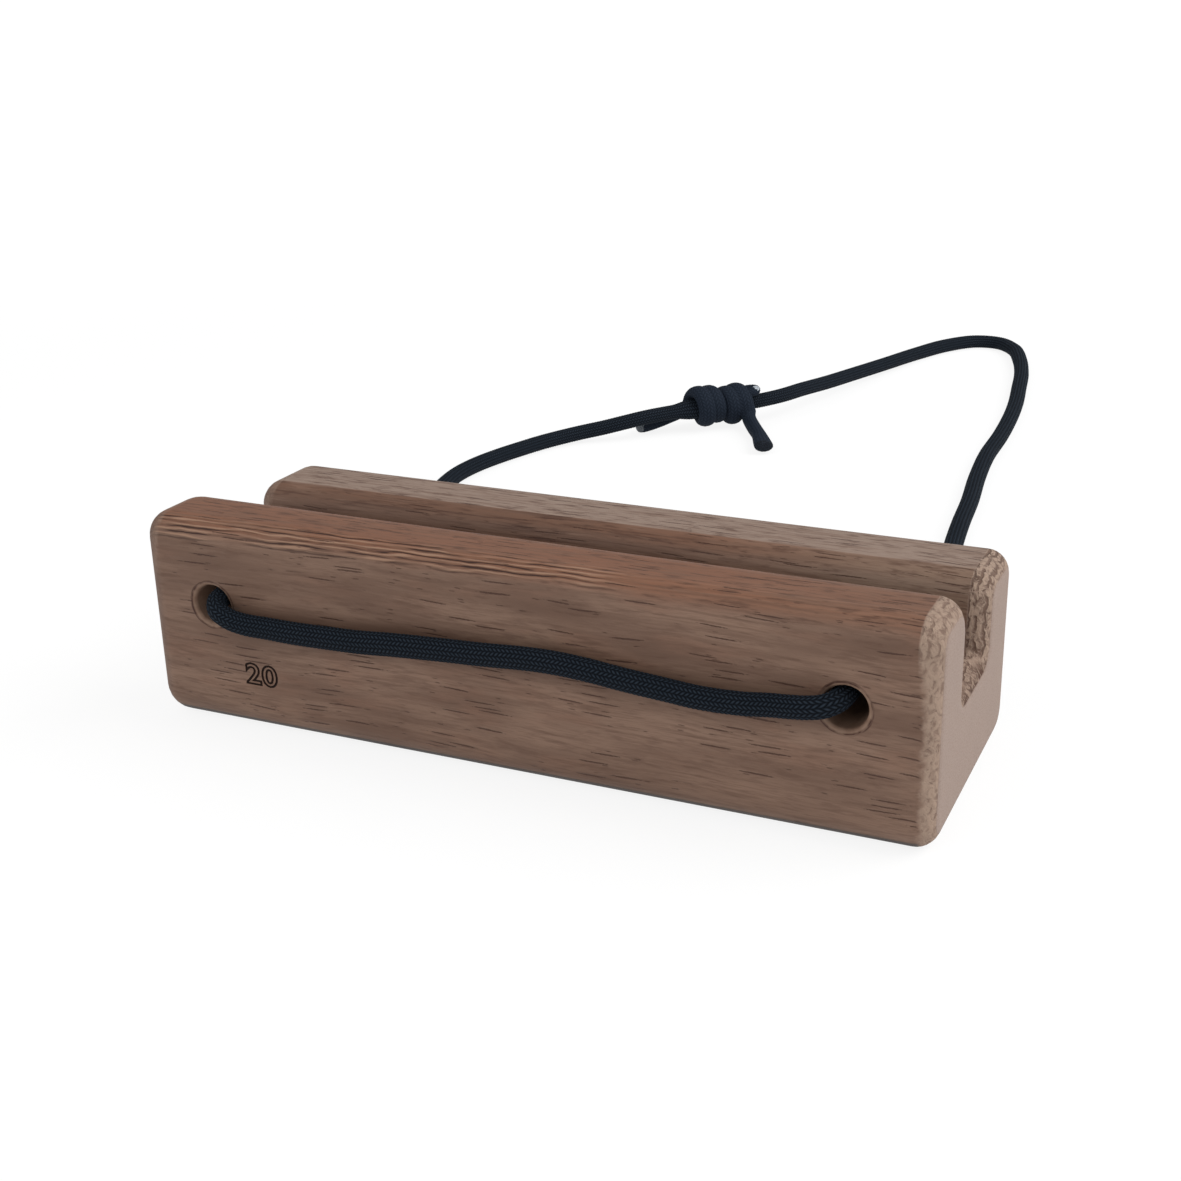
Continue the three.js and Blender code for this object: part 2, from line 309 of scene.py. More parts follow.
@dataclass(frozen=True)
class WoodFinish:
    """Oiled open-pored hardwood with its grain along X, rough where the ends are rounded over.

    Its places and sizes are in millimetres. The size of a pattern is its length along X, Y and Z, and a
    span runs from where a mark starts to where it is whole. Growth lines are placed by the height plus
    the depth, which is even on the front face and on the top, and runs straight round the front shoulder.
    """

    name: str = "oiled_hardwood"
    ground: Colour = (146, 117, 99)
    shade: Colour = (112, 85, 70)
    rosy: Colour = (138, 102, 83)
    top: Colour = (133, 89, 66)
    pale_top: Colour = (156, 137, 124)
    # Dark speckle of the end grain, and the painted shade on the back wall's side towards the slot.
    deep: Colour = (112, 84, 68)
    # Dark grain seams and smudges, and painted shade on the left end's rounding.
    seam_and_end_shade: Colour = (84, 56, 43)
    line: Colour = (60, 34, 24)
    ridge: Colour = (170, 134, 110)
    pore: Colour = (72, 44, 33)
    rough: Colour = (164, 140, 124)
    # The painted highlight on the torn fibres, and the painted shade in their creases.
    strand: Colour = (182, 157, 138)
    crease_shade: Colour = (90, 62, 48)
    foot_shadow: Colour = (28, 19, 16)
    tan: Colour = (140, 119, 102)
    end_grain: Colour = (165, 145, 134)
    scorch: Colour = (66, 38, 28)
    drift_size: Place = (45, 18, 18)
    cloud_size: Place = (38, 7, 7)
    streak_size: Place = (24, 0.8, 0.8)
    smudge_size: Place = (6, 0.9, 0.8)
    fibre_size: Place = (3.2, 0.22, 0.22)
    speckle_size: Place = (2, 0.35, 0.35)
    lump_size: Place = (1.25, 1.3, 1.6)
    long_pore: Span = (27, 1.2)
    short_pore: Span = (7, 1.0)
    half_length: float = 80.0
    half_depth: float = 28.25
    top_right: Span = (30.0, 75.0)
    left_end_shade: Span = (-74.5, -78.0)
    foot_shadow_band: Span = (2.9, 2.2)
    front_face: Span = (-25.0, -27.0)
    front_high: Span = (18.0, 32.0)
    front_left: Span = (10.0, -50.0)
    front_low: Span = (20.0, 8.0)
    front_right: Span = (-10.0, 50.0)
    back_wall: Span = (3.0, 6.0)
    back_grip_y: float = 12.7
    wall_foot: Span = (22.0, 26.0)
    wall_top: Span = (30.5, 33.5)
    wall_left: Span = (40.0, -20.0)
    wall_right: Span = (10.0, 65.0)
    rim_radius: float = 4.95
    rim_from_face: Span = (1.25, 0.35)
    shoulder: float = 15.95
    shoulder_climb: float = 0.026
    shoulder_spacing: float = 1.5
    shoulder_below: Span = (-5.6, -3.6)
    shoulder_above: Span = (2.6, 1.4)
    shoulder_front: Span = (-19.5, -21.5)
    shoulder_left: Span = (26.0, 12.0)
    right_half: Span = (-10.0, 10.0)
    slot_front: Span = (-13.0, -8.0)
    slot_foot: Span = (15.0, 19.0)
    wall_crests: Span = (30.0, 41.0)
    torn_depth: float = 2.5
    curl: float = 2.6
    curl_spacing: float = 1.35
    pit_front: Span = (-9.5, -7.5)
    pit_back: Span = (9.5, 7.5)
    pit_top: Span = (23.6, 20.4)
    pit_foot: Span = (12.0, 15.0)

    def material(self) -> bpy.types.Material:
        """Builds the material.

        Returns:
            The material, with all its marks laid over each other from the grain up.
        """
        graph = Graph.of_material(self.name)
        here = graph.place()
        x, y, z = here
        facing_x, _, facing_z = graph.facing()
        end = abs(facing_x)
        flat = end.ramp(0.93, 0.965)
        side = 1 - end.ramp(0.2, 0.45)

        drift = graph.grain(here, self.drift_size) - 0.5
        cloud = graph.grain(here, self.cloud_size, detail=3)
        blush = graph.noise(graph.vector(x / 16, y / 5 + 7, z / 4), detail=2)
        across, high = self.streak_size[1:]
        bent = graph.vector(x / self.streak_size[0], y / across + drift * 5, z / high + drift * 7)
        streak = graph.noise(bent, detail=3)
        across, high = self.smudge_size[1:]
        bent = graph.vector(x / self.smudge_size[0], y / across, z / high + drift * 4)
        smudge = graph.noise(bent, detail=3, roughness=0.6)
        fibre = graph.grain(here, self.fibre_size, detail=2)

        colour = graph.mix(cloud.ramp(0.3, 0.7), self.ground, self.shade)
        colour = graph.mix(blush.ramp(0.48, 0.72) * 0.4, colour, self.rosy)
        colour = self._front_painted_light(graph, here, colour)
        on_top = facing_z.ramp(0.3, 0.85) * (0.85 - 0.3 * x.ramp(*self.top_right))
        colour = graph.mix(on_top, colour, self.top)
        colour = self._back_wall(graph, here, colour, streak, facing_z)
        colour = graph.mix(streak.ramp(0.48, 0.66) * 0.5, colour, self.shade)
        smudged = smudge.ramp(0.5, 0.68) * (0.34 + 0.36 * facing_z.ramp(0.2, 0.8))
        colour = graph.mix(smudged, colour, self.seam_and_end_shade)
        colour = graph.mix(fibre.ramp(0.44, 0.7) * 0.4, colour, self.shade)

        lines, ridges = self._shoulder_lines(graph, here)
        colour = graph.mix(ridges * side * 0.8, colour, self.ridge)
        colour = graph.mix(lines * side, colour, self.line)
        pores = self._pores(graph, here, drift) * side
        colour = graph.mix(pores * 0.85, colour, self.pore)

        torn, crease_shade, curl = self._torn_end(graph, here, end)
        colour = graph.mix(torn * 0.85, colour, self.rough)
        # Painted highlight on the raised fibres, and painted shade in their creases and in the pit.
        colour = graph.mix(curl.ramp(-0.3, 0.2) * torn * 0.6, colour, self.strand)
        colour = graph.mix(crease_shade, colour, self.crease_shade)

        # Painted shade on the rounding of the left end, which faces away from the key lamp.
        colour = graph.mix(x.ramp(*self.left_end_shade) * end.ramp(0.1, 0.5) * 0.45, colour, self.seam_and_end_shade)
        # Painted shadow: a dark band low round the block's foot, standing in for its contact shadow.
        colour = graph.mix(z.ramp(*self.foot_shadow_band) * z.ramp(0.0, 0.2) * side * 0.9, colour, self.foot_shadow)
        speckle = graph.grain(here, self.speckle_size, detail=2)
        cut = graph.mix(speckle.ramp(0.45, 0.75) * 0.4, self.end_grain, self.deep)
        colour = graph.mix(flat * 0.92, colour, cut)
        colour = graph.mix(self._rim(graph, here) * 0.85, colour, self.scorch)

        height = 0.04 * streak + 0.04 * fibre - 0.12 * pores - 0.08 * lines + 0.07 * ridges
        height = height + curl * 0.4 - crease_shade * 0.12 + flat * speckle * 0.05
        roughness = 0.5 + 0.16 * streak + 0.2 * torn + 0.12 * flat
        graph.surface(colour, roughness, height, {"Specular IOR Level": 0.35})
        return graph.owner

    def _front_painted_light(self, graph: Graph, here: Triple, colour: Signal) -> Signal:
        """Paints shade on the front face high on the left, and paints light on it low on the right.

        Args:
            graph: the material's nodes.
            here: the place on the block.
            colour: the colour so far.

        Returns:
            The colour with both laid over it.
        """
        x, y, z = here
        front = y.ramp(*self.front_face)
        darker = z.ramp(*self.front_high) * x.ramp(*self.front_left) * front * 0.35
        brighter = z.ramp(*self.front_low) * x.ramp(*self.front_right) * front * 0.4
        return graph.mix(brighter, graph.mix(darker, colour, self.shade), self.ground)

    def _back_wall(
        self, graph: Graph, here: Triple, colour: Signal, streak: Signal, facing_z: Signal
    ) -> Signal:
        """Makes the back wall's top paler, and paints shade on its side towards the slot, paler high up at
        the right.

        Args:
            graph: the material's nodes.
            here: the place on the block.
            colour: the colour so far.
            streak: the long grain.
            facing_z: how far the surface faces up.

        Returns:
            The colour with both laid over it.
        """
        x, y, z = here
        behind = y.ramp(*self.back_wall)
        wander = graph.noise(graph.vector(x / 22, 0.0, 0.0)) - 0.5
        edge = y - wander * 0.8
        # Paler across the back wall's top, up to its edge towards the slot.
        paler_top = edge.ramp(self.back_grip_y - 0.15, self.back_grip_y + 0.25) * facing_z.ramp(0.3, 0.8)
        left = x.ramp(*self.wall_left)
        inside = edge.ramp(self.back_grip_y + 0.2, self.back_grip_y - 0.2)
        paler = behind * x.ramp(*self.wall_right) * (z + wander * 4).ramp(*self.wall_top) * inside
        # Painted shade on the back wall's side towards the slot, held back high up at the right, where it is
        # painted paler tan.
        slot_side_shade = behind * inside * z.ramp(*self.wall_foot) * (1 - paler * 0.85)
        colour = graph.mix(paler * 0.7, colour, self.tan)
        colour = graph.mix(slot_side_shade * (0.38 + 0.38 * left), colour, self.deep)
        vein = graph.noise(graph.vector(x / 26, z / 0.5 + streak * 2, 3.0), detail=3).ramp(0.5, 0.62)
        colour = graph.mix(slot_side_shade * vein * (0.45 + 0.4 * left), colour, self.seam_and_end_shade)
        pale = graph.noise(graph.vector(x / 20, z / 0.8 + streak * 2, 8.0), detail=3).ramp(0.55, 0.68)
        colour = graph.mix(slot_side_shade * pale * 0.4, colour, self.ground)
        return graph.mix(paler_top * 0.85, colour, self.pale_top)

    def _shoulder_lines(self, graph: Graph, here: Triple) -> tuple[Signal, Signal]:
        """Fine growth lines along the front shoulder.

        Args:
            graph: the material's nodes.
            here: the place on the block.

        Returns:
            How dark the lines are, and how far the pale ridges between them stand out.
        """
        x, y, z = here
        sway = graph.noise(graph.vector(x / 16, 4.0, 0.0), detail=2) - 0.5
        shared = y + z
        fork = graph.noise(graph.vector(x / 9, shared / 1.6, 2.0), detail=2) - 0.5
        climb = (x + self.half_length) * self.shoulder_climb
        place = shared - self.shoulder - climb + sway * 1.8 + fork * 1.5
        wave = (place * (2 * math.pi / self.shoulder_spacing)).math("COSINE")
        broken = graph.noise(graph.vector(x / 13, shared / 1.3, 1.0), detail=1).ramp(0.4, 0.56)
        band = place.ramp(*self.shoulder_below) * place.ramp(*self.shoulder_above)
        band = band * y.ramp(*self.shoulder_front)
        along = x.ramp(*self.shoulder_left) * 0.85 + 0.15
        lines = wave.ramp(0.42, 0.88) * broken * band * along
        ridges = wave.ramp(-0.1, -0.8) * band * along * (0.35 + 0.65 * broken)
        return lines, ridges

    def _pores(self, graph: Graph, here: Triple, drift: Signal) -> Signal:
        """Ragged dashes, long ones and short ones, where the open pores are cut along.

        Args:
            graph: the material's nodes.
            here: the place on the block.
            drift: how the grain wanders.

        Returns:
            1 in a pore, and 0 beside it.
        """
        x, y, z = here
        shared = y + z + drift * 4 + x / 90
        ragged = graph.noise(graph.vector(x / 0.6, shared / 0.25, 0.0), detail=2) - 0.5
        crowd = graph.noise(graph.vector(x / 30, shared / 6, 5.0)).ramp(0.3, 0.62)
        length, apart = self.long_pore
        near, random = graph.cells(graph.vector(x / length, shared / apart, 0.0))
        chosen = (random * (0.65 + 0.35 * crowd)).ramp(0.36, 0.42)
        long = (near + ragged * 0.17 - random * 0.04).ramp(0.1, 0.05) * chosen
        length, apart = self.short_pore
        close, chance = graph.cells(graph.vector(x / length, shared / apart + 0.4, 0.0))
        short = (close + ragged * 0.2).ramp(0.12, 0.05) * (chance * crowd).ramp(0.5, 0.6) * 0.7
        return long.math("MAXIMUM", short)

    def _torn_end(self, graph: Graph, here: Triple, end: Signal) -> Triple:
        """Torn fibres on the rounded ends, most of all high up and round the slot.

        Args:
            graph: the material's nodes.
            here: the place on the block.
            end: how far the surface faces along the block.

        Returns:
            Where they are, how dark the painted shade in their creases and in the pit at the foot of the
            slot's end is, and how far they stand out.
        """
        x, y, z = here
        ragged = graph.noise(graph.vector(x / 2.2, y / 1.3, z / 1.3), detail=2) - 0.5
        inwards = self.half_length - abs(x)
        slot = y.ramp(*self.slot_front) * z.ramp(*self.slot_foot)
        high = z.ramp(*self.wall_crests)
        reach = self.torn_depth + slot * 2.6 + high * 2.0
        torn = (inwards - reach + ragged * 2.2).ramp(0.8, -0.8) * end.ramp(0.965, 0.93) * end.ramp(0.02, 0.12)
        torn = torn * (0.3 + 0.7 * x.ramp(*self.right_half))
        lump = graph.grain(here, self.lump_size, detail=4, distortion=0.8, roughness=0.6)
        bend = graph.noise(graph.vector(x / 3, y / 2.6, z / 3), detail=2) - 0.5
        wave = ((inwards + bend * self.curl) * (2 * math.pi / self.curl_spacing)).math("COSINE")
        arcs = wave.ramp(0.1, 1.0) * bend.ramp(-0.12, 0.06) * slot.math("MAXIMUM", high * 0.6)
        crease_shade = (lump.ramp(0.5, 0.32) * (0.38 + 0.37 * slot)).math("MAXIMUM", arcs * 0.7) * torn
        below = z.ramp(*self.pit_top) * z.ramp(*self.pit_foot)
        # Painted shade in the pit where the slot's floor meets the rounded end.
        pit_shade = y.ramp(*self.pit_front) * y.ramp(*self.pit_back) * below * torn * (0.35 + lump.ramp(0.62, 0.42))
        height = (lump - 0.5) * 1.6 - arcs * 0.5
        return torn, crease_shade.math("MAXIMUM", pit_shade), height * torn * (0.75 + 0.25 * slot.math("MAXIMUM", high))

    def _rim(self, graph: Graph, here: Triple) -> Signal:
        """A thin broken scorch mark round each hole.

        Args:
            graph: the material's nodes.
            here: the place on the block.

        Returns:
            1 on the mark, and 0 beside it.
        """
        x, y, z = here
        radius = from_hole(here)
        wobble = graph.noise(graph.vector(x / 2.5, z / 2.5, 0.0)) - 0.5
        broken = graph.noise(graph.vector(x / 5, z / 5, 9.0)).ramp(0.35, 0.55) * 0.7 + 0.3
        on_face = abs(y).ramp(*[self.half_depth - inwards for inwards in self.rim_from_face])
        return abs(radius + wobble * 0.5 - self.rim_radius).ramp(0.26, 0.05) * broken * on_face


@dataclass(frozen=True)
class BoredFinish:
    """Bare wood inside a drilled hole, polished by the cord. Its sizes are in millimetres."""

    name: str = "bored_hardwood"
    ground: Colour = (152, 124, 106)
    shade: Colour = (120, 92, 76)
    # Painted shade deep in the hole.
    dark: Colour = (74, 54, 44)
    scorch: Colour = (58, 30, 22)
    turning_size: Place = (3, 0.35, 3)
    cloud_size: Place = (2, 4, 2)
    daylight: Span = (26.0, 14.0)
    burnt_rim: Span = (4.45, 4.85)

    def material(self) -> bpy.types.Material:
        """Builds the material.

        Returns:
            The material, with painted shade deeper inside, and burnt at the rim.
        """
        graph = Graph.of_material(self.name)
        here = graph.place()
        turning = graph.grain(here, self.turning_size)
        cloud = graph.grain(here, self.cloud_size)
        colour = graph.mix(cloud.ramp(0.35, 0.75) * 0.7, self.ground, self.shade)
        colour = graph.mix(turning.ramp(0.5, 0.8) * 0.35, colour, self.shade)
        # Painted shade, deeper into the hole.
        colour = graph.mix(abs(here[1]).ramp(*self.daylight) * 0.6, colour, self.dark)
        burnt = from_hole(here).ramp(*self.burnt_rim) * (0.45 + 0.5 * cloud.ramp(0.4, 0.6))
        colour = graph.mix(burnt, colour, self.scorch)
        graph.surface(colour, 0.55 + 0.2 * cloud, turning * 0.05, {"Specular IOR Level": 0.25})
        return graph.owner


@dataclass(frozen=True)
class ScorchedFinish:
    """Wood burnt dark brown in an engraved groove. Its sizes are in millimetres."""

    name: str = "scorched_groove"
    ground: Colour = (34, 21, 16)
    ash: Colour = (62, 42, 32)
    ash_size: Place = (0.5, 0.2, 0.2)

    def material(self) -> bpy.types.Material:
        """Builds the material.

        Returns:
            The material, flecked with ash.
        """
        graph = Graph.of_material(self.name)
        grain = graph.grain(graph.place(), self.ash_size)
        colour = graph.mix(grain.ramp(0.5, 0.75), self.ground, self.ash)
        graph.surface(colour, 0.75 + 0.1 * grain, grain * 0.04, {"Specular IOR Level": 0.2})
        return graph.owner


@dataclass(frozen=True)
class BraidFinish:
    """Dark nylon sheath, with its sizes in millimetres.

    Its map runs one unit per stitch along the cord, and one per yarn arm round it.
    """

    name: str = "navy_braid"
    yarn: Colour = (26, 33, 42)
    # The crown takes a painted sheen, and the groove painted shade.
    crown: Colour = (58, 68, 79)
    groove: Colour = (8, 10, 14)
    relief: float = 0.13
    lean: float = 0.9
    filaments: int = 4
    sheen_patch_size: Place = (5, 5, 5)
    fuzz_size: Place = (0.3, 0.3, 0.3)

    def material(self) -> bpy.types.Material:
        """Builds the material.

        Returns:
            The material, with yarns that cross over and under each other, painted shade in the grooves
            between them, and a painted sheen on their crowns.
        """
        graph = Graph.of_material(self.name)
        coordinates = graph.node("ShaderNodeTexCoord")
        along, arm, _ = graph.split(Signal(graph, coordinates.outputs["UV"]))
        share = arm.math("FRACT")
        odd = (arm / 2).math("FRACT").math("GREATER_THAN", 0.5)
        slant = share + odd - 2 * odd * share
        stitch = along - self.lean * slant + 0.5 * odd
        over = (stitch.math("FRACT") * math.pi).math("SINE")
        side = (share * math.pi).math("SINE")
        crown = (over ** 0.9) * (side ** 0.4)
        filament = (stitch * (2 * math.pi * self.filaments)).math("SINE") * 0.5 + 0.5
        here = graph.place()
        sheen_patches = graph.grain(here, self.sheen_patch_size)
        fuzz = graph.grain(here, self.fuzz_size, detail=1)

        # Painted shade in the grooves between the yarns, and a painted sheen on their crowns, in patches.
        colour = graph.mix(crown.ramp(0.05, 0.7), self.groove, self.yarn)
        shine = crown.ramp(0.62, 0.98) * (0.45 + 0.4 * sheen_patches) * (0.7 + 0.3 * filament)
        colour = graph.mix(shine, colour, self.crown)
        height = self.relief * crown + 0.02 * filament * crown + 0.02 * fuzz
        graph.surface(colour, 0.7 + 0.14 * fuzz, height, {"Specular IOR Level": 0.08})
        return graph.owner


SHEATH = BraidFinish()
PULLED_TIGHT = BraidFinish(
    "tight_braid", yarn=(35, 43, 55), crown=(45, 54, 67), groove=(25, 31, 41), relief=0.03
)


@dataclass(frozen=True)
class TipFinish:
    """The end of a cord, cut to its pale core or melted to a dark bead, or a pale spot of painted highlight
    on a cord. Its sizes are in millimetres.
    """

    name: str
    ground: Colour
    fleck: Colour
    roughness: float
    grain_size: Place = (0.35, 0.35, 0.35)
    blotch_size: Place = (1.2, 1.2, 1.2)

    def material(self) -> bpy.types.Material:
        """Builds the material.

        Returns:
            The material, flecked and uneven.
        """
        graph = Graph.of_material(self.name)
        here = graph.place()
        grain = graph.grain(here, self.grain_size)
        blotch = graph.grain(here, self.blotch_size, detail=1)
        colour = graph.mix(grain.ramp(0.4, 0.7), self.ground, self.fleck)
        height = grain * 0.12 + blotch * 0.3
        graph.surface(colour, self.roughness + 0.15 * blotch, height, {"Specular IOR Level": 0.2})
        return graph.owner


CUT_TIP = TipFinish("cut_tip", (136, 142, 148), (74, 80, 88), 0.75)
MELTED_TIP = TipFinish("melted_tip", (20, 24, 31), (36, 43, 53), 0.75)
# A painted highlight: a pale glint on the bight's fold.
BIGHT_GLINT = TipFinish("bight_glint", (200, 207, 214), (118, 126, 136), 0.7)


# Working a mesh by hand


class Part(Enum):
    """What is picked in edit mode."""

    FACES = "FACE"
    EDGES = "EDGE"


def put_all_down() -> None:
    """Leaves every object deselected."""
    if bpy.context.mode != "OBJECT":
        bpy.ops.object.mode_set(mode="OBJECT")
    bpy.ops.object.select_all(action="DESELECT")


class Workpiece:
    """A mesh that is being worked on."""

    def __init__(self, name: str) -> None:
        """Takes up the object that was added last.

        Args:
            name: its new name.
        """
        self.object = bpy.context.active_object
        self.object.name = name
        self.object.data.name = name

    @classmethod
    def cube(cls, name: str, centre: Place, size: Place) -> "Workpiece":
        """Adds a box.

        Args:
            name: its name.
            centre: where its middle is.
            size: its length along X, Y and Z.

        Returns:
            The box.
        """
        put_all_down()
        bpy.ops.mesh.primitive_cube_add(size=1, location=centre, scale=size)
        bpy.ops.object.transform_apply(location=True, rotation=True, scale=True)
        return cls(name)

    @classmethod
    def rod(cls, name: str, centre: Place, radius: float, length: float, sides: int) -> "Workpiece":
        """Adds a round rod that lies along Y.

        Args:
            name: its name.
            centre: where its middle is.
            radius: half its thickness.
            length: how long it is.
            sides: how many flats stand for its roundness.

        Returns:
            The rod.
        """
        put_all_down()
        turned = (math.pi / 2, 0, 0)
        bpy.ops.mesh.primitive_cylinder_add(
            vertices=sides, radius=radius, depth=length, location=centre, rotation=turned
        )
        bpy.ops.object.transform_apply(location=True, rotation=True, scale=True)
        return cls(name)

    def take_up(self) -> None:
        """Makes this the only selected object."""
        put_all_down()
        self.object.select_set(True)
        bpy.context.view_layer.objects.active = self.object

    def pick(self, part: Part, test: Callable[[Any], bool]) -> None:
        """Goes into edit mode and selects what passes a test.

        Args:
            part: whether faces or edges are looked at.
            test: tells for one of them whether it is selected.
        """
        if bpy.context.mode != "EDIT_MESH":
            self.take_up()
            bpy.ops.object.mode_set(mode="EDIT")
        bpy.ops.mesh.select_mode(type=part.value)
        bpy.ops.mesh.select_all(action="DESELECT")
        mesh = bmesh.from_edit_mesh(self.object.data)
        for element in mesh.faces if part is Part.FACES else mesh.edges:
            if test(element):
                element.select_set(True)
        bmesh.update_edit_mesh(self.object.data)

    def slice(self, y: float) -> None:
        """Cuts new edges round the mesh where Y has that value."""
        self.pick(Part.FACES, lambda face: True)
        bpy.ops.mesh.bisect(plane_co=(0, y, 0), plane_no=(0, 1, 0))

    def trim(self, through: Place, outwards: Place) -> None:
        """Cuts off what lies beyond a plane, and closes the cut."""
        self.pick(Part.FACES, lambda face: True)
        bpy.ops.mesh.bisect(plane_co=through, plane_no=outwards, use_fill=True, clear_outer=True)

    def extrude(self, offset: Place) -> None:
        """Draws the picked faces out."""
        bpy.ops.mesh.extrude_region_move(TRANSFORM_OT_translate={"value": offset})

    def bevel(self, width: float, segments: int) -> None:
        """Rounds the picked edges over."""
        bpy.ops.mesh.bevel(
            offset_type="OFFSET", offset=width, segments=segments, profile=0.5, affect="EDGES",
            clamp_overlap=False,
        )

    def modify(self, kind: str, **settings: Any) -> None:
        """Adds a modifier and applies it.

        Args:
            kind: the modifier's type.
            settings: its settings.
        """
        self.take_up()
        modifier = self.object.modifiers.new(kind.lower(), kind)
        for key, value in settings.items():
            setattr(modifier, key, value)
        bpy.ops.object.modifier_apply(modifier=modifier.name)

    def cut_with(self, tool: "Workpiece", crosses_itself: bool = False) -> None:
        """Cuts another mesh away. The cut faces keep that mesh's finish.

        Args:
            tool: the other mesh, which is used up.
            crosses_itself: whether parts of the other mesh run through each other.
        """
        settings = {"operation": "DIFFERENCE", "solver": "EXACT", "material_mode": "TRANSFER"}
        self.modify("BOOLEAN", **settings, object=tool.object, use_self=crosses_itself)
        bpy.data.objects.remove(tool.object, do_unlink=True)

    def dress(self, material: bpy.types.Material) -> None:
        """Gives the whole mesh one finish."""
        self.object.data.materials.clear()
        self.object.data.materials.append(material)


# The block


@dataclass
class WoodenBlock:
    """The hardwood block: two walls of different height over one floor, and two cross holes."""

    length: float = 0.160
    depth: float = 0.0565
    floor: float = 0.0235
    slot_front: float = -0.00825
    slot_back: float = 0.00825
    front_edge: float = 0.020
    back_edge: float = 0.015
    base_rounding: float = 0.0065
    top_rounding: float = 0.0052
    grip_rounding: float = 0.008
    back_grip_rounding: float = 0.0054
    left_end_lean: float = 0.0024
    corner_rounding: float = 0.0008
    left_end_rounding: float = 0.005
    right_end_rounding: float = 0.0043
    hole_inset: float = 0.016
    hole_height: float = 0.0265
    bore_radius: float = 0.004
    rim_rounding: float = 0.0009
    rim_steps: int = 4
    overshoot: float = 0.002
    hole_sides: int = 64
    end_segments: int = 8
    sharpest_smooth: float = 32.0
    number: str = "20"
    number_size: float = 0.0060
    number_stretch: float = 1.16
    number_spacing: float = 1.08
    number_boldness: float = 0.00012
    number_x: float = -0.0576
    number_z: float = 0.0110
    groove_radius: float = 0.00022

    def build(self) -> bpy.types.Object:
        """Shapes, drills, engraves and dresses the block.

        Returns:
            The finished object, riding on the board.
        """
        block = self._walls()
        self._round_over(block)
        block.dress(WoodFinish().material())
        bored = BoredFinish().material()
        for side in (-1, 1):
            block.cut_with(self._drill(side * (self.length / 2 - self.hole_inset), bored))
        block.cut_with(self._engraver(ScorchedFinish().material()), crosses_itself=True)
        block.take_up()
        bpy.ops.object.shade_smooth_by_angle(angle=math.radians(self.sharpest_smooth))
        block.modify("WEIGHTED_NORMAL", keep_sharp=True, weight=80)
        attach(block.object, "board")
        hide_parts("wood_block")
        return block.object

    def _walls(self) -> Workpiece:
        """Makes the plain slotted bar, before anything is rounded.

        Returns:
            The bar, with its left end cut a little out of square.
        """
        block = Workpiece.cube("wooden_block", (0, 0, self.floor / 2), (self.length, self.depth, self.floor))
        block.slice(self.slot_front)
        block.slice(self.slot_back)
        block.pick(Part.FACES, lambda f: f.normal.z > 0.9 and f.calc_center_median().y < self.slot_front)
        block.extrude((0, 0, self.front_edge))
        block.pick(Part.FACES, lambda f: f.normal.z > 0.9 and f.calc_center_median().y > self.slot_back)
        block.extrude((0, 0, self.back_edge))
        block.pick(Part.FACES, lambda f: True)
        bpy.ops.mesh.dissolve_limited(angle_limit=math.radians(1))
        block.trim((-self.length / 2, -self.depth / 2, 0), self._left_end_facing())
        return block

    def _left_end_facing(self) -> Place:
        """The way that the left end faces: it is a little out of square."""
        long = math.hypot(self.depth, self.left_end_lean)
        return (-self.depth / long, self.left_end_lean / long, 0)

    def _at_left_end(self, edge: Any) -> bool:
        """Whether an edge runs round the left end.

        Args:
            edge: the edge.

        Returns:
            True where both its ends lie on the left end's plane.
        """
        facing = Vector(self._left_end_facing())
        corner = Vector((-self.length / 2, -self.depth / 2, 0))
        return all(abs((v.co - corner).dot(facing)) < TOUCHING for v in edge.verts)

    def _at_right_end(self, edge: Any) -> bool:
        """Whether an edge runs round the right end."""
        return all(abs(v.co.x - self.length / 2) < TOUCHING for v in edge.verts)

    def _round_over(self, block: Workpiece) -> None:
        """Rounds the long edges, and then both ends all the way round.

        Args:
            block: the plain slotted bar.
        """
        half = self.depth / 2
        front_top, back_top = self.floor + self.front_edge, self.floor + self.back_edge
        steps = [
            ([(-half, 0), (half, 0)], self.base_rounding, 7),
            ([(-half, front_top), (half, back_top)], self.top_rounding, 7),
            ([(self.slot_front, front_top)], self.grip_rounding, 9),
            ([(self.slot_back, back_top)], self.back_grip_rounding, 8),
            ([(self.slot_front, self.floor), (self.slot_back, self.floor)], self.corner_rounding, 3),
        ]
        for corners, radius, segments in steps:
            block.pick(Part.EDGES, lambda e: any(self._lies_on(e, y, z) for y, z in corners))
            block.bevel(radius, segments)
        block.pick(Part.EDGES, self._at_left_end)
        block.bevel(self.left_end_rounding, self.end_segments)
        block.pick(Part.EDGES, self._at_right_end)
        block.bevel(self.right_end_rounding, self.end_segments)

    @staticmethod
    def _lies_on(edge: Any, y: float, z: float) -> bool:
        """Whether a long edge runs through that place of the section."""
        return all(abs(v.co.y - y) + abs(v.co.z - z) < TOUCHING for v in edge.verts)

    def _drill(self, x: float, finish: bpy.types.Material) -> Workpiece:
        """Makes the tool for one cross hole, flared at the front and back faces.

        Args:
            x: where the hole is along the block.
            finish: the wood inside the hole.

        Returns:
            The tool, longer than the block is deep.
        """
        reach = self.depth / 2 - self.rim_rounding
        centre = (x, 0, self.hole_height)
        drill = Workpiece.rod("drill", centre, self.bore_radius, 2 * reach, self.hole_sides)
        for side in (-1, 1):
            drill.pick(Part.FACES, lambda f: f.normal.y * side > 0.9 and f.calc_center_median().y * side > 0)
            self._flare(drill, x, side, reach)
        drill.dress(finish)
        put_all_down()
        return drill

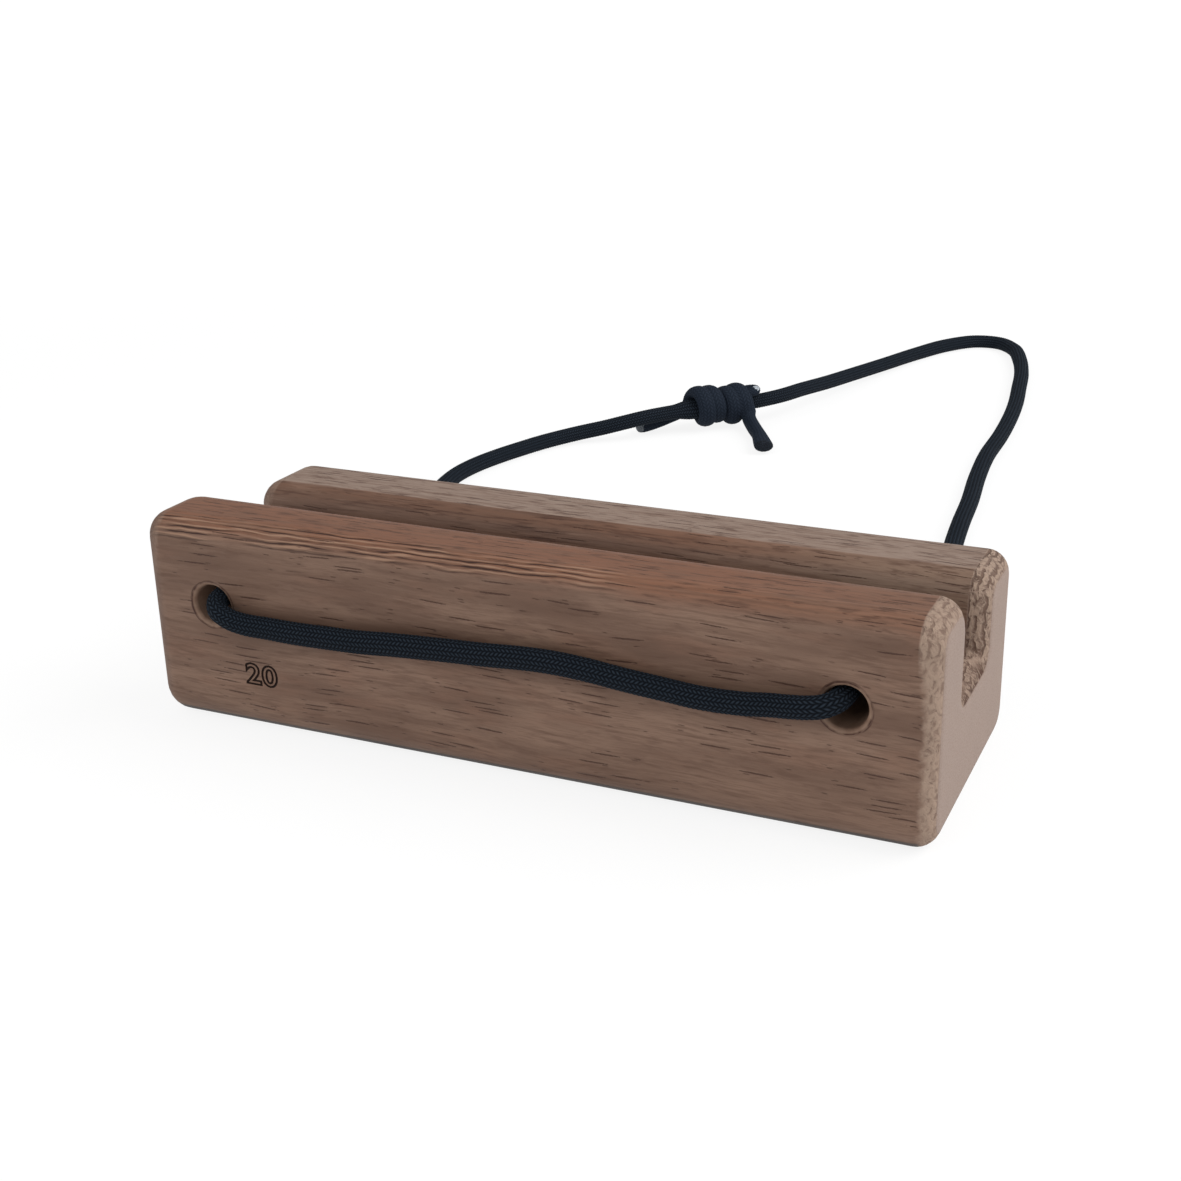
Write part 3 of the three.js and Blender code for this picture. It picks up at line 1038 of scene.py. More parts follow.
    def _flare(self, drill: Workpiece, x: float, side: int, reach: float) -> None:
        """Draws the picked end of the drill out and open along a quarter circle.

        Args:
            drill: the tool.
            x: where it is along the block.
            side: -1 for its front end, and 1 for its back end.
            reach: how far that end is from the block's middle.
        """
        radius, out = self.bore_radius, reach
        for step in range(1, self.rim_steps + 1):
            turn = math.pi / 2 * step / self.rim_steps
            next_radius = self.bore_radius + self.rim_rounding * (1 - math.cos(turn))
            next_out = reach + self.rim_rounding * math.sin(turn)
            drill.extrude((0, side * (next_out - out), 0))
            grown = next_radius / radius
            bpy.ops.transform.resize(
                value=(grown, 1, grown), center_override=(x, side * next_out, self.hole_height)
            )
            radius, out = next_radius, next_out
        drill.extrude((0, side * self.overshoot, 0))

    def _engraver(self, finish: bpy.types.Material) -> Workpiece:
        """Makes the tool that cuts the outline of the edge depth's number into the front face.

        Args:
            finish: the burnt wood of the groove.

        Returns:
            The tool, half sunk into the face.
        """
        put_all_down()
        bpy.ops.object.text_add()
        text = bpy.context.active_object
        text.data.body = self.number
        text.data.size = self.number_size
        text.data.space_character = self.number_spacing
        text.data.offset = self.number_boldness
        text.data.fill_mode = "NONE"
        text.data.bevel_depth = self.groove_radius
        text.data.bevel_resolution = 1
        text.data.resolution_u = 4
        bpy.ops.object.convert(target="MESH")
        tool = Workpiece("engraver")
        upright = Matrix.Rotation(math.pi / 2, 4, "X") @ Matrix.Scale(self.number_stretch, 4, (1, 0, 0))
        on_face = Matrix.Translation((self.number_x, -self.depth / 2, self.number_z))
        tool.object.matrix_world = on_face @ upright
        bpy.ops.object.transform_apply(location=True, rotation=True, scale=True)
        tool.dress(finish)
        put_all_down()
        return tool


# The cord


def smooth_line(places: np.ndarray, spacing: float) -> np.ndarray:
    """A centripetal curve through places, as points an even distance apart.

    Args:
        places: the places, in metres.
        spacing: about how far apart the points are.

    Returns:
        The points, one row each.
    """
    padded = np.vstack([2 * places[0] - places[1], places, 2 * places[-1] - places[-2]])
    gaps = np.sqrt(np.linalg.norm(np.diff(padded, axis=0), axis=1))
    share = np.linspace(0, 1, 24, endpoint=False)[:, None]
    dense = []
    for i in range(len(places) - 1):
        before, start, end, after = padded[i : i + 4]
        g0, g1, g2 = gaps[i : i + 3]
        leave = ((start - before) / g0 - (end - before) / (g0 + g1) + (end - start) / g1) * g1
        arrive = ((end - start) / g1 - (after - start) / (g1 + g2) + (after - end) / g2) * g1
        cubic = 2 * start - 2 * end + leave + arrive
        square = -3 * start + 3 * end - 2 * leave - arrive
        dense.append(((cubic * share + square) * share + leave) * share + start)
    dense = np.vstack([*dense, places[-1:]])
    run = distances(dense)
    even = np.linspace(0, run[-1], max(2, round(run[-1] / spacing)) + 1)
    return read_off(dense, run, even)


def distances(line: np.ndarray) -> np.ndarray:
    """How far along a line each of its points is."""
    return np.concatenate([[0], np.cumsum(np.linalg.norm(np.diff(line, axis=0), axis=1))])


def read_off(rows: np.ndarray, run: np.ndarray, along: np.ndarray) -> np.ndarray:
    """Reads rows of three numbers, given at the distances in run, at other distances."""
    return np.stack([np.interp(along, run, rows[:, k]) for k in range(3)], axis=-1)


def unit(vectors: np.ndarray) -> np.ndarray:
    """The same directions, each one long."""
    return vectors / np.linalg.norm(vectors, axis=-1, keepdims=True)


def carried_normals(line: np.ndarray, first: Place) -> np.ndarray:
    """Side directions along a line that turn no more than the line does.

    Args:
        line: the points of the line.
        first: about where the first side direction points.

    Returns:
        One direction for each point, square to the line.
    """
    ahead = tangents(line)
    normals = np.empty_like(line)
    normal = np.array(first, float)
    for i, along in enumerate(ahead):
        normal = normal - normal.dot(along) * along
        normal = normal / np.linalg.norm(normal)
        normals[i] = normal
    return normals


def tangents(line: np.ndarray) -> np.ndarray:
    """The direction of a line at each of its points."""
    return unit(np.gradient(line, axis=0))


class CordEnd(Enum):
    """How a tube of cord ends."""

    HIDDEN = "hidden"
    CUT = "cut"
    MELTED = "melted"


@dataclass(frozen=True)
class Braid:
    """How the yarns of the sheath lie: arms that lean to and fro round the cord, a stitch apart."""

    arms: int = 16
    stitch: float = 0.00085
    lean: float = 0.9
    relief: float = 0.00012

    def slant(self, arm: np.ndarray) -> np.ndarray:
        """How far an arm has leaned along the cord, as a share of its whole lean."""
        share = arm % 1
        return np.where(np.floor(arm) % 2 > 0, 1 - share, share)

    def height(self, along: np.ndarray, arm: np.ndarray) -> np.ndarray:
        """How far a yarn stands out.

        Args:
            along: how far along the cord, in metres.
            arm: how far round the cord, in arms.

        Returns:
            Heights from 0 to 1.
        """
        odd = np.floor(arm) % 2
        over = np.sin(np.pi * ((along / self.stitch - self.lean * self.slant(arm) + 0.5 * odd) % 1))
        return np.abs(over) ** 0.7 * np.abs(np.sin(np.pi * (arm % 1))) ** 0.6


@dataclass
class BraidedTube:
    """A tube of cord along a line, with the braid's relief in its mesh and its map."""

    line: np.ndarray
    normals: np.ndarray
    width: np.ndarray
    thickness: np.ndarray
    rings_per_stitch: int = 2
    sides_per_arm: int = 2
    starts: CordEnd = CordEnd.HIDDEN
    ends: CordEnd = CordEnd.HIDDEN
    tip_length: float = 0.0012
    tip_rings: int = 9
    even_end: float = 0.002
    waist: float = 0.12
    waist_length: float = 0.0025
    braid: Braid = field(default_factory=Braid)

    def build(self, name: str, finish: bpy.types.Material) -> bpy.types.Object:
        """Makes the tube.

        Args:
            name: the object's name.
            finish: the sheath's material.

        Returns:
            The object, with closed ends and one finish, plus one for each tip that shows.
        """
        run = distances(self.line)
        rings = self._ring_places(run[-1])
        sides = self.braid.arms * self.sides_per_arm
        arm = np.arange(sides) / self.sides_per_arm
        shear = self.braid.lean * self.braid.stitch * self.braid.slant(arm)
        inside = smooth_step(rings, 0, self.even_end) * smooth_step(run[-1] - rings, 0, self.even_end)
        along = np.clip(rings[:, None] + shear[None, :] * inside[:, None], 0, run[-1])
        points = self._surface(run, along, arm)
        mesh = self._mesh(name, points, along, arm)
        mesh.materials.append(finish)
        body = bpy.data.objects.new(name, mesh)
        bpy.context.scene.collection.objects.link(body)
        self._dress_tips(mesh, rings, run[-1])
        return body

    def _ring_places(self, length: float) -> np.ndarray:
        """Spaces the rings evenly, and closer together at a tip that shows.

        Args:
            length: how long the cord is.

        Returns:
            How far along the cord each ring is.
        """
        step = self.braid.stitch / self.rings_per_stitch
        rings = np.arange(0, length, step)
        close = (1 - np.cos(np.linspace(0, np.pi / 2, self.tip_rings))) * self.tip_length
        clear = self.tip_length * 1.05
        if self.starts is not CordEnd.HIDDEN:
            rings = np.concatenate([close, rings[rings > clear]])
        if self.ends is not CordEnd.HIDDEN:
            return np.concatenate([rings[rings < length - clear], length - close[::-1]])
        return np.append(rings[rings < length - step / 2], length)

    def _surface(self, run: np.ndarray, along: np.ndarray, arm: np.ndarray) -> np.ndarray:
        """Places the tube's points.

        Args:
            run: how far along the cord each point of its line is.
            along: how far along the cord each point of the surface is, one row for each ring.
            arm: how far round the cord each point of a ring is, in arms.

        Returns:
            The points, one row for each ring.
        """
        turn = 2 * np.pi * arm / self.braid.arms
        centre = read_off(self.line, run, along)
        ahead = unit(read_off(tangents(self.line), run, along))
        out = read_off(self.normals, run, along)
        out = unit(out - (out * ahead).sum(-1, keepdims=True) * ahead)
        beside = np.cross(ahead, out)
        relief = self.braid.relief * (self.braid.height(along, arm[None, :]) - 0.5)
        shape = self._tip_shape(along, run[-1])
        wide = (np.interp(along, run, self.width) / 2 + relief) * shape
        thick = (np.interp(along, run, self.thickness) / 2 + relief) * shape
        up, over = (thick * np.cos(turn))[..., None], (wide * np.sin(turn))[..., None]
        return centre + out * up + beside * over

    def _tip_shape(self, along: np.ndarray, length: float) -> np.ndarray:
        """How the cord closes at a tip that shows, with a slight waist before a cut one.

        Args:
            along: how far along the cord each point is.
            length: how long the cord is.

        Returns:
            The radius at each point, as a share of the whole radius.
        """
        shape = np.ones_like(along)
        for end, away in ((self.starts, along), (self.ends, length - along)):
            if end is CordEnd.HIDDEN:
                continue
            inward = np.clip(1 - away / self.tip_length, 0, 1)
            shape *= np.sqrt(np.clip(1 - inward ** 4, 1e-6, 1))
            if end is CordEnd.CUT:
                shape *= 1 - self.waist * smooth_step(away, self.waist_length, 0)
        return shape

    def _mesh(self, name: str, points: np.ndarray, along: np.ndarray, arm: np.ndarray) -> bpy.types.Mesh:
        """Joins the rings with quads, closes each end with a fan, and lays the braid's map on them.

        Args:
            name: the mesh's name.
            points: the tube's points, one row for each ring.
            along: how far along the cord each point is.
            arm: how far round the cord each point of a ring is, in arms.

        Returns:
            The mesh, without a finish.
        """
        rings, sides = points.shape[:2]
        corners = [*points.reshape(-1, 3), points[0].mean(0), points[-1].mean(0)]
        first, last = rings * sides, rings * sides + 1
        faces, mapped = [], []
        stitches = along / self.braid.stitch
        arms = np.append(arm, self.braid.arms)
        for i in range(rings - 1):
            for j in range(sides):
                k = (j + 1) % sides
                faces.append((i * sides + j, i * sides + k, (i + 1) * sides + k, (i + 1) * sides + j))
                mapped += [(stitches[i, j], arms[j]), (stitches[i, k], arms[j + 1]),
                           (stitches[i + 1, k], arms[j + 1]), (stitches[i + 1, j], arms[j])]
        for i, pole, turned in ((0, first, True), (rings - 1, last, False)):
            for j in range(sides):
                k = (j + 1) % sides
                rim = [(i * sides + j, arms[j]), (i * sides + k, arms[j + 1])]
                fan = (rim[::-1] if turned else rim) + [(pole, arms[j])]
                faces.append(tuple(corner for corner, _ in fan))
                mapped += [(stitches[i, j], place) for _, place in fan]
        mesh = bpy.data.meshes.new(name)
        mesh.from_pydata([tuple(p) for p in corners], [], faces)
        layer = mesh.uv_layers.new(name="braid")
        layer.data.foreach_set("uv", np.array(mapped, np.float32).ravel())
        mesh.polygons.foreach_set("use_smooth", [True] * len(mesh.polygons))
        mesh.update()
        return mesh

    def _dress_tips(self, mesh: bpy.types.Mesh, rings: np.ndarray, length: float) -> None:
        """Gives the faces of each tip that shows its own finish.

        Args:
            mesh: the tube's mesh.
            rings: how far along the cord each ring is.
            length: how long the cord is.
        """
        finishes = {CordEnd.CUT: CUT_TIP, CordEnd.MELTED: MELTED_TIP}
        sides = self.braid.arms * self.sides_per_arm
        count = len(rings) - 1
        slots = np.zeros(len(mesh.polygons), np.int32)
        band = np.repeat((rings[:-1] + rings[1:]) / 2, sides)
        for end, away, fan in ((self.starts, band, 0), (self.ends, length - band, 1)):
            if end in finishes:
                mesh.materials.append(finishes[end].material())
                slot = len(mesh.materials) - 1
                slots[: count * sides][away < self.tip_length * 0.8] = slot
                slots[(count + fan) * sides : (count + fan + 1) * sides] = slot
        mesh.polygons.foreach_set("material_index", slots)


@dataclass
class FrontStrand:
    """The cord that the block holds: bore, slot, bore, across the front face, and back the same way.

    Its sizes are in millimetres.
    """

    hole_x: float = 64.0
    front_face: float = -28.25
    hole_height: float = 26.5
    cord_diameter: float = 4.0
    front_offset: float = 2.05
    thickness: float = 3.9
    width_in_holes: float = 4.1
    spacing: float = 0.4
    left_hole: tuple[Place, ...] = (
        (0, 48, -1.4), (0, 36, -0.8), (0.2, 20, 0.4), (0.9, 10, 1.1), (1.3, 5.2, 1.35),
        (1.4, 1.6, 1.35), (1.9, -0.9, 1), (3.2, -2.5, 0.2), (5.6, -2.9, -0.9), (9, -2.5, -1.8),
    )
    right_hole: tuple[Place, ...] = (
        (0, 48, -1.4), (0, 36, -0.8), (0.1, 20, 0.4), (0.6, 10, 1), (0.8, 5.2, 1.2),
        (1, 1.6, 1.2), (1.7, -0.8, 1.1), (3.3, -2.4, 0.8), (5.6, -2.8, 0.4), (9, -2.4, -0.2),
    )
    front_shares: tuple[tuple[float, float], ...] = (
        (-0.787, -0.52), (-0.697, -0.54), (-0.576, -0.5), (-0.46, -0.43), (-0.354, -0.29), (-0.254, -0.19),
        (-0.154, -0.1), (-0.053, -0.02), (0.072, 0.12), (0.167, 0.16), (0.277, 0.07), (0.377, -0.09),
        (0.516, -0.26), (0.606, -0.36), (0.726, -0.31), (0.805, -0.16),
    )
    widths: tuple[tuple[float, float], ...] = (
        (-66, 4.2), (-60, 4.5), (-54, 5.0), (-46, 5.3), (-36, 5.4), (-24, 5.5), (-12, 5.3), (0, 5.2),
        (12, 5.1), (24, 4.9), (38, 4.8), (50, 4.6), (60, 4.4), (66, 4.2),
    )

    def build(self, sheath: bpy.types.Material) -> bpy.types.Object:
        """Lays the strand.

        Args:
            sheath: the braid's material.

        Returns:
            The finished object, riding on the board.
        """
        line = smooth_line(metres(self._route()), self.spacing * MM)
        x, y = line[:, 0] / MM, line[:, 1] / MM
        on_face = smooth_step(-y, -self.front_face - 1, -self.front_face + 1.5)
        width = np.interp(x, *zip(*self.widths))
        round_width = self.width_in_holes
        width = (round_width + (width - round_width) * on_face) * MM
        thickness = (round_width + (self.thickness - round_width) * on_face) * MM
        tube = BraidedTube(line, carried_normals(line, (-1, 0, 0)), width, thickness, 4, 4)
        strand = tube.build("front_strand", sheath)
        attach(strand, "board")
        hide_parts("cord_front_strand")
        return strand

    def _route(self) -> list[Place]:
        """Puts the strand's route together.

        Returns:
            The places that it goes through, in millimetres, from the left rear mouth to the right one.
        """
        left = [self._in_hole(-1, *place) for place in self.left_hole]
        right = [self._in_hole(1, *place) for place in self.right_hole]
        y = self.front_face - self.front_offset
        front = [
            (along * self.hole_x, y, self.hole_height + up * self.cord_diameter)
            for along, up in self.front_shares
        ]
        return [*left, *front, *reversed(right)]

    def _in_hole(self, side: int, inwards: float, back: float, up: float) -> Place:
        """A place in one hole, from how far it is towards the middle, back and up."""
        return (side * (self.hole_x - inwards), self.front_face + back, self.hole_height + up)


@dataclass
class KnotPlace:
    """Where the knot sits on the loop, in millimetres, and which way it points, in degrees."""

    centre: Place = (-45.2, 204.2, 6.6)
    turn: float = 44.5

    def point(self, along: float, across: float, height: float) -> Place:
        """Turns a place given from the knot into one given from the block, both in millimetres.

        Args:
            along: how far it is along the knot.
            across: how far it is across the knot, towards the block.
            height: how far it is up from the surface below.

        Returns:
            The place in the part's frame.
        """
        turn = math.radians(self.turn)
        x = self.centre[0] + along * math.cos(turn) + across * math.sin(turn)
        y = self.centre[1] + along * math.sin(turn) - across * math.cos(turn)
        return (x, y, height)

    def axis(self) -> np.ndarray:
        """The knot's own direction."""
        turn = math.radians(self.turn)
        return np.array([math.cos(turn), math.sin(turn), 0])


@dataclass
class HangingLoop:
    """The free cord: out of the left rear hole, through the knot, round, and into the right rear hole.

    Its sizes are in millimetres, apart from the exit, the length and the bend's two ends, in metres.
    """

    diameter: float = 4.15
    slack_width: float = 4.75
    greatest_thickness: float = 4.25
    far_bend: Place = (0.0, 320.0, 2.2)
    far_bend_width: float = 5.6
    far_bend_reach: float = 20.0
    swelling: float = 1.7
    swelling_along: float = -6.5
    swelling_reach: float = 6.0
    height_share: float = 0.94
    spacing: float = 0.8
    exit: Place = (-0.064, 0.02825, 0.0248)
    length: float = 0.681
    bend_from: float = 0.0265
    bend_to: float = 0.0385
    left_leg: tuple[Place, ...] = (
        (-64, 19.75, 25.1), (-64, 25.25, 24.85), (-64, 30.55, 24.8), (-64.1, 38, 24.5), (-65.2, 48, 22.4),
        (-68.3, 59, 18), (-73.1, 70.5, 12.6), (-79.3, 82.4, 7.6), (-85.5, 94.3, 4.2), (-90.7, 106.2, 2.6),
        (-93.9, 117, 2.2), (-95.2, 127.7, 2.2), (-94.4, 137.9, 2.2), (-92, 147.9, 2.2), (-89, 156.9, 2.2),
        (-85.9, 164.4, 2.3), (-82, 170.7, 2.6), (-77.7, 175.7, 3.1), (-72.3, 179.1, 4.1),
        (-66.6, 182.5, 5.4), (-61, 187.1, 6.4),
    )
    in_knot: tuple[float, ...] = (-11.92, -5.96, 0, 5.96, 11.92)
    right_leg: tuple[Place, ...] = (
        (-30.3, 220.6, 7), (-26.7, 231.2, 6.7), (-23, 246.2, 5.5), (-18.9, 264.8, 4.2), (-14, 285.1, 3),
        (-8.3, 304.8, 2.3), (-1.4, 320.2, 2.2), (6.8, 329.2, 2.2), (15.1, 329.4, 2.2), (21.9, 321.8, 2.2),
        (27, 307.3, 2.2), (31.1, 289.6, 2.2), (33.9, 271.7, 2.2), (36.6, 253.4, 2.2), (38.4, 235.8, 2.2),
        (39.6, 216.2, 2.2), (40.1, 195.6, 2.2), (42, 174.8, 2.2), (44.6, 154.8, 2.2), (46.5, 135.6, 2.2),
        (48.7, 118.2, 2.2), (51, 105.5, 2.6), (53.5, 93.8, 4.2), (56.1, 81.9, 7.6), (58.6, 69.9, 12.6),
        (61, 58.4, 18), (62.9, 47.5, 22.4), (63.9, 38, 24.5), (64, 30.55, 24.8), (64, 25.25, 24.85),
        (64, 19.75, 25.1),
    )

    def build(
        self, sheath: bpy.types.Material, knot: bpy.types.Object, place: KnotPlace
    ) -> bpy.types.Object:
        """Args:
            sheath: the braid's material.
            knot: not used.
            place: where the knot is.

        Returns:
            The finished object.
        """
        inner = [place.point(along, 0, place.centre[2]) for along in self.in_knot]
        route = metres([*self.left_leg, *inner, *self.right_leg])
        line = smooth_line(route, self.spacing * MM)
        width = self._widths(line)
        swelling = self._swelling(line, place)
        thickness = np.minimum(width * self.height_share, self.greatest_thickness * MM) + swelling
        width = width + swelling
        tube = BraidedTube(line, carried_normals(line, (0, 0, 1)), width, thickness, 2, 2)
        loop = tube.build("cord_loop", sheath)
        run = distances(line)
        LOG.info("cord_loop measures %.4f m", run[-1])
        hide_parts("cord_left_leg", "cord_right_leg")
        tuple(self.exit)
        start, end = list(self.exit), list(self.exit)
        start[1], end[1] = self.bend_from, self.bend_to
        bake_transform(loop)
        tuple(start)
        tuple(end)
        return loop

    def _widths(self, line: np.ndarray) -> np.ndarray:
        """How wide the cord is: round in its holes, slacker outside, and pressed flat at the far bend.

        Args:
            line: the points of the loop's line.

        Returns:
            The width at each point.
        """
        slack = smooth_step(line[:, 1], self.bend_from, self.bend_to + 10 * MM)
        away = np.linalg.norm(line - metres([self.far_bend])[0], axis=1) / (self.far_bend_reach * MM)
        pressed = (self.far_bend_width - self.slack_width) * np.exp(-(away ** 2))
        return (self.diameter + (self.slack_width - self.diameter) * slack + pressed) * MM

    def _swelling(self, line: np.ndarray, place: KnotPlace) -> np.ndarray:
        """How much thicker the left leg is where it fills the mouth of the knot's first turn.

        Args:
            line: the points of the loop's line.
            place: where the knot is.

        Returns:
            What is added to the width at each point.
        """
        mouth = metres([place.point(self.swelling_along, 0, place.centre[2])])[0]
        away = np.linalg.norm(line - mouth, axis=1) / (self.swelling_reach * MM)
        return self.swelling * np.exp(-(away ** 4)) * MM


@dataclass
class Knot:
    """The turns that tie the loop, the bight that stands out of them, and their two tails.

    Its sizes are in millimetres.
    """

    place: KnotPlace = field(default_factory=KnotPlace)
    pitch: float = 4.05
    turns: float = 3.52
    first_turn: float = 3.0
    steps_per_turn: int = 24
    radius: float = 4.1
    lift: float = 0.5
    tilt: float = -0.05
    shift: float = 0.3
    bulges: tuple[tuple[float, float, float], ...] = ((-3.8, 0.3, 2.4), (5.4, 0.35, 2.4), (0.7, -0.85, 1.5))
    notch: float = 0.7
    notch_spread: float = 1.1
    notch_reach: float = 4.5
    flat_width: float = 5.8
    flat_thickness: float = 4.0
    tail_width: float = 4.3
    left_tail: tuple[Place, ...] = (
        (-25.2, -3.3, 2.3), (-21.2, -4.0, 2.5), (-17.2, -4.4, 3.2), (-13.8, -4.5, 4.1), (-11.2, -4.4, 4.9),
        (-9.2, -4.2, 5.8),
    )
    right_tail: tuple[Place, ...] = (
        (8.1, 4.9, 4.7), (8, 6.7, 3.1), (6.8, 12.2, 2.3), (4.8, 20.1, 2.2), (2.8, 26.2, 2.3),
        (0.6, 32.4, 2.6),
    )
    tail_waist: float = 4.2
    tail_flare: float = 5.6
    waist_span: Span = (22.0, 13.0)
    flare_span: Span = (16.0, 1.0)
    turns_length: Span = (9.3, 7.6)
    turns_radius: Span = (6.5, 5.2)
    right_tail_leaves: Span = (5.5, 10.0)
    left_tail_leaves: Span = (9.5, 13.5)
    spacing: float = 0.25
    bight: tuple[Place, ...] = (
        (4.8, 2.2, 8.8), (8.2, 2.5, 10.0), (10.6, 2.5, 10.5), (12.2, 1.7, 10.6), (12.7, 0.6, 10.6),
        (12.1, -0.5, 10.5), (10.4, -1.2, 10.3), (8.0, -1.3, 9.8), (4.8, -1.2, 8.8),
    )
    bight_width: float = 2.9
    braid_relief: float = 0.06
    glint_spot: Place = (12.2, 2.2, 11.5)
    glint_reach: float = 1.15

    def build(self, sheath: bpy.types.Material) -> bpy.types.Object:
        """Winds the knot and joins the bight to it.

        Args:
            sheath: the braid's material.

        Returns:
            The finished object, riding on the loop.
        """
        left = [self.place.point(*p) for p in self.left_tail]
        right = [self.place.point(*p) for p in self.right_tail]
        line = smooth_line(metres([*left, *self._winding(), *right]), self.spacing * MM)
        width, thickness = self._widths(line)
        tube = BraidedTube(
            line, self._outwards(line), width, thickness, 3, 3, CordEnd.CUT, CordEnd.MELTED,
            braid=Braid(relief=self.braid_relief * MM),
        )
        knot = tube.build("knot_turns", sheath)
        bight = self._bight(sheath)
        put_all_down()
        bight.select_set(True)
        knot.select_set(True)
        bpy.context.view_layer.objects.active = knot
        bpy.ops.object.join()
        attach(knot, "loop")
        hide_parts("cord_knot")
        return knot

    def _bight(self, sheath: bpy.types.Material) -> bpy.types.Object:
        """Lays the small fold of cord that stands out of the knot over the right leg.

        Args:
            sheath: the braid's material.

        Returns:
            The fold, with a painted highlight in one spot.
        """
        line = smooth_line(metres([self.place.point(*p) for p in self.bight]), self.spacing * MM)
        width = np.full(len(line), self.bight_width * MM)
        fold = BraidedTube(line, carried_normals(line, (0, 0, 1)), width, width, 3, 2).build("bight", sheath)
        fold.data.materials.append(BIGHT_GLINT.material())
        # The faces near this spot get the painted highlight.
        glint_centre = Vector(self.place.point(*self.glint_spot)) * MM
        for face in fold.data.polygons:
            if (face.center - glint_centre).length < self.glint_reach * MM:
                face.material_index = 1
        return fold

    def _winding(self) -> list[Place]:
        """Winds the turns of the knot, with two bulges and a notch between them.

        Returns:
            The places that the cord goes through, in millimetres.
        """
        count = round(self.turns * self.steps_per_turn)
        length = self.pitch * self.turns
        height = self.place.centre[2] + self.lift
        places = []
        for i in range(count + 1):
            share = i / count
            turn = self.first_turn + 2 * math.pi * self.turns * share
            along = length * (share - 0.5)
            radius = self.radius + sum(
                rise * math.exp(-(((along - middle) / reach) ** 2))
                for middle, rise, reach in self.bulges
            )
            near = (along - self.notch) / self.notch_reach
            along += self.notch_spread * math.tanh(3 * near) * math.exp(-(near ** 2))
            up = height + self.tilt * along - radius * math.sin(turn)
            places.append(self.place.point(along + self.shift, radius * math.cos(turn), up))
        return places

    def _widths(self, line: np.ndarray) -> tuple[np.ndarray, np.ndarray]:
        """The cord's section: pressed flat in the turns, and flared at the right tail's end.

        Args:
            line: the points of the knot's line.

        Returns:
            The width and the thickness at each point.
        """
        in_turns = self._in_turns(line)
        run = distances(line)
        left_over = (run[-1] - run) / MM
        waist = smooth_step(left_over, *self.waist_span) * (self.tail_waist - self.tail_width)
        flare = smooth_step(left_over, *self.flare_span) * (self.tail_flare - self.tail_waist)
        width = self.tail_width + (self.flat_width - self.tail_width) * in_turns + waist + flare
        thickness = self.tail_width + (self.flat_thickness - self.tail_width) * in_turns + waist - flare * 0.5
        return width * MM, thickness * MM

    def _in_turns(self, line: np.ndarray) -> np.ndarray:
        """Tells the knot's turns from its tails.

        Args:
            line: the points of the knot's line.

        Returns:
            1 in the turns, and 0 on the tails.
        """
        _, along, radial = self._from_axis(line)
        beside = np.linalg.norm(radial, axis=1)
        return smooth_step(np.abs(along), *self.turns_length) * smooth_step(beside, *self.turns_radius)

    def _outwards(self, line: np.ndarray) -> np.ndarray:
        """Which way the flat side of the cord faces: out of the turns, and up on the tails.

        Args:
            line: the points of the knot's line.

        Returns:
            One direction for each point.
        """
        offset, along, radial = self._from_axis(line)
        across = np.cross(self.place.axis(), (0, 0, 1))
        far = smooth_step(offset @ across, *self.right_tail_leaves)[:, None]
        far = np.maximum(far, smooth_step(-along, *self.left_tail_leaves)[:, None])
        return unit(radial) * (1 - far) + np.array([0, 0, 1.0]) * far

    def _from_axis(self, line: np.ndarray) -> tuple[np.ndarray, np.ndarray, np.ndarray]:
        """Measures points from the knot.

        Args:
            line: the points of the knot's line.

        Returns:
            Their offsets from its middle, how far they are along its axis, and their offsets from the axis.
        """
        offset = line / MM - np.array(self.place.centre)
        along = offset @ self.place.axis()
        return offset, along, offset - along[:, None] * self.place.axis()


# The studio


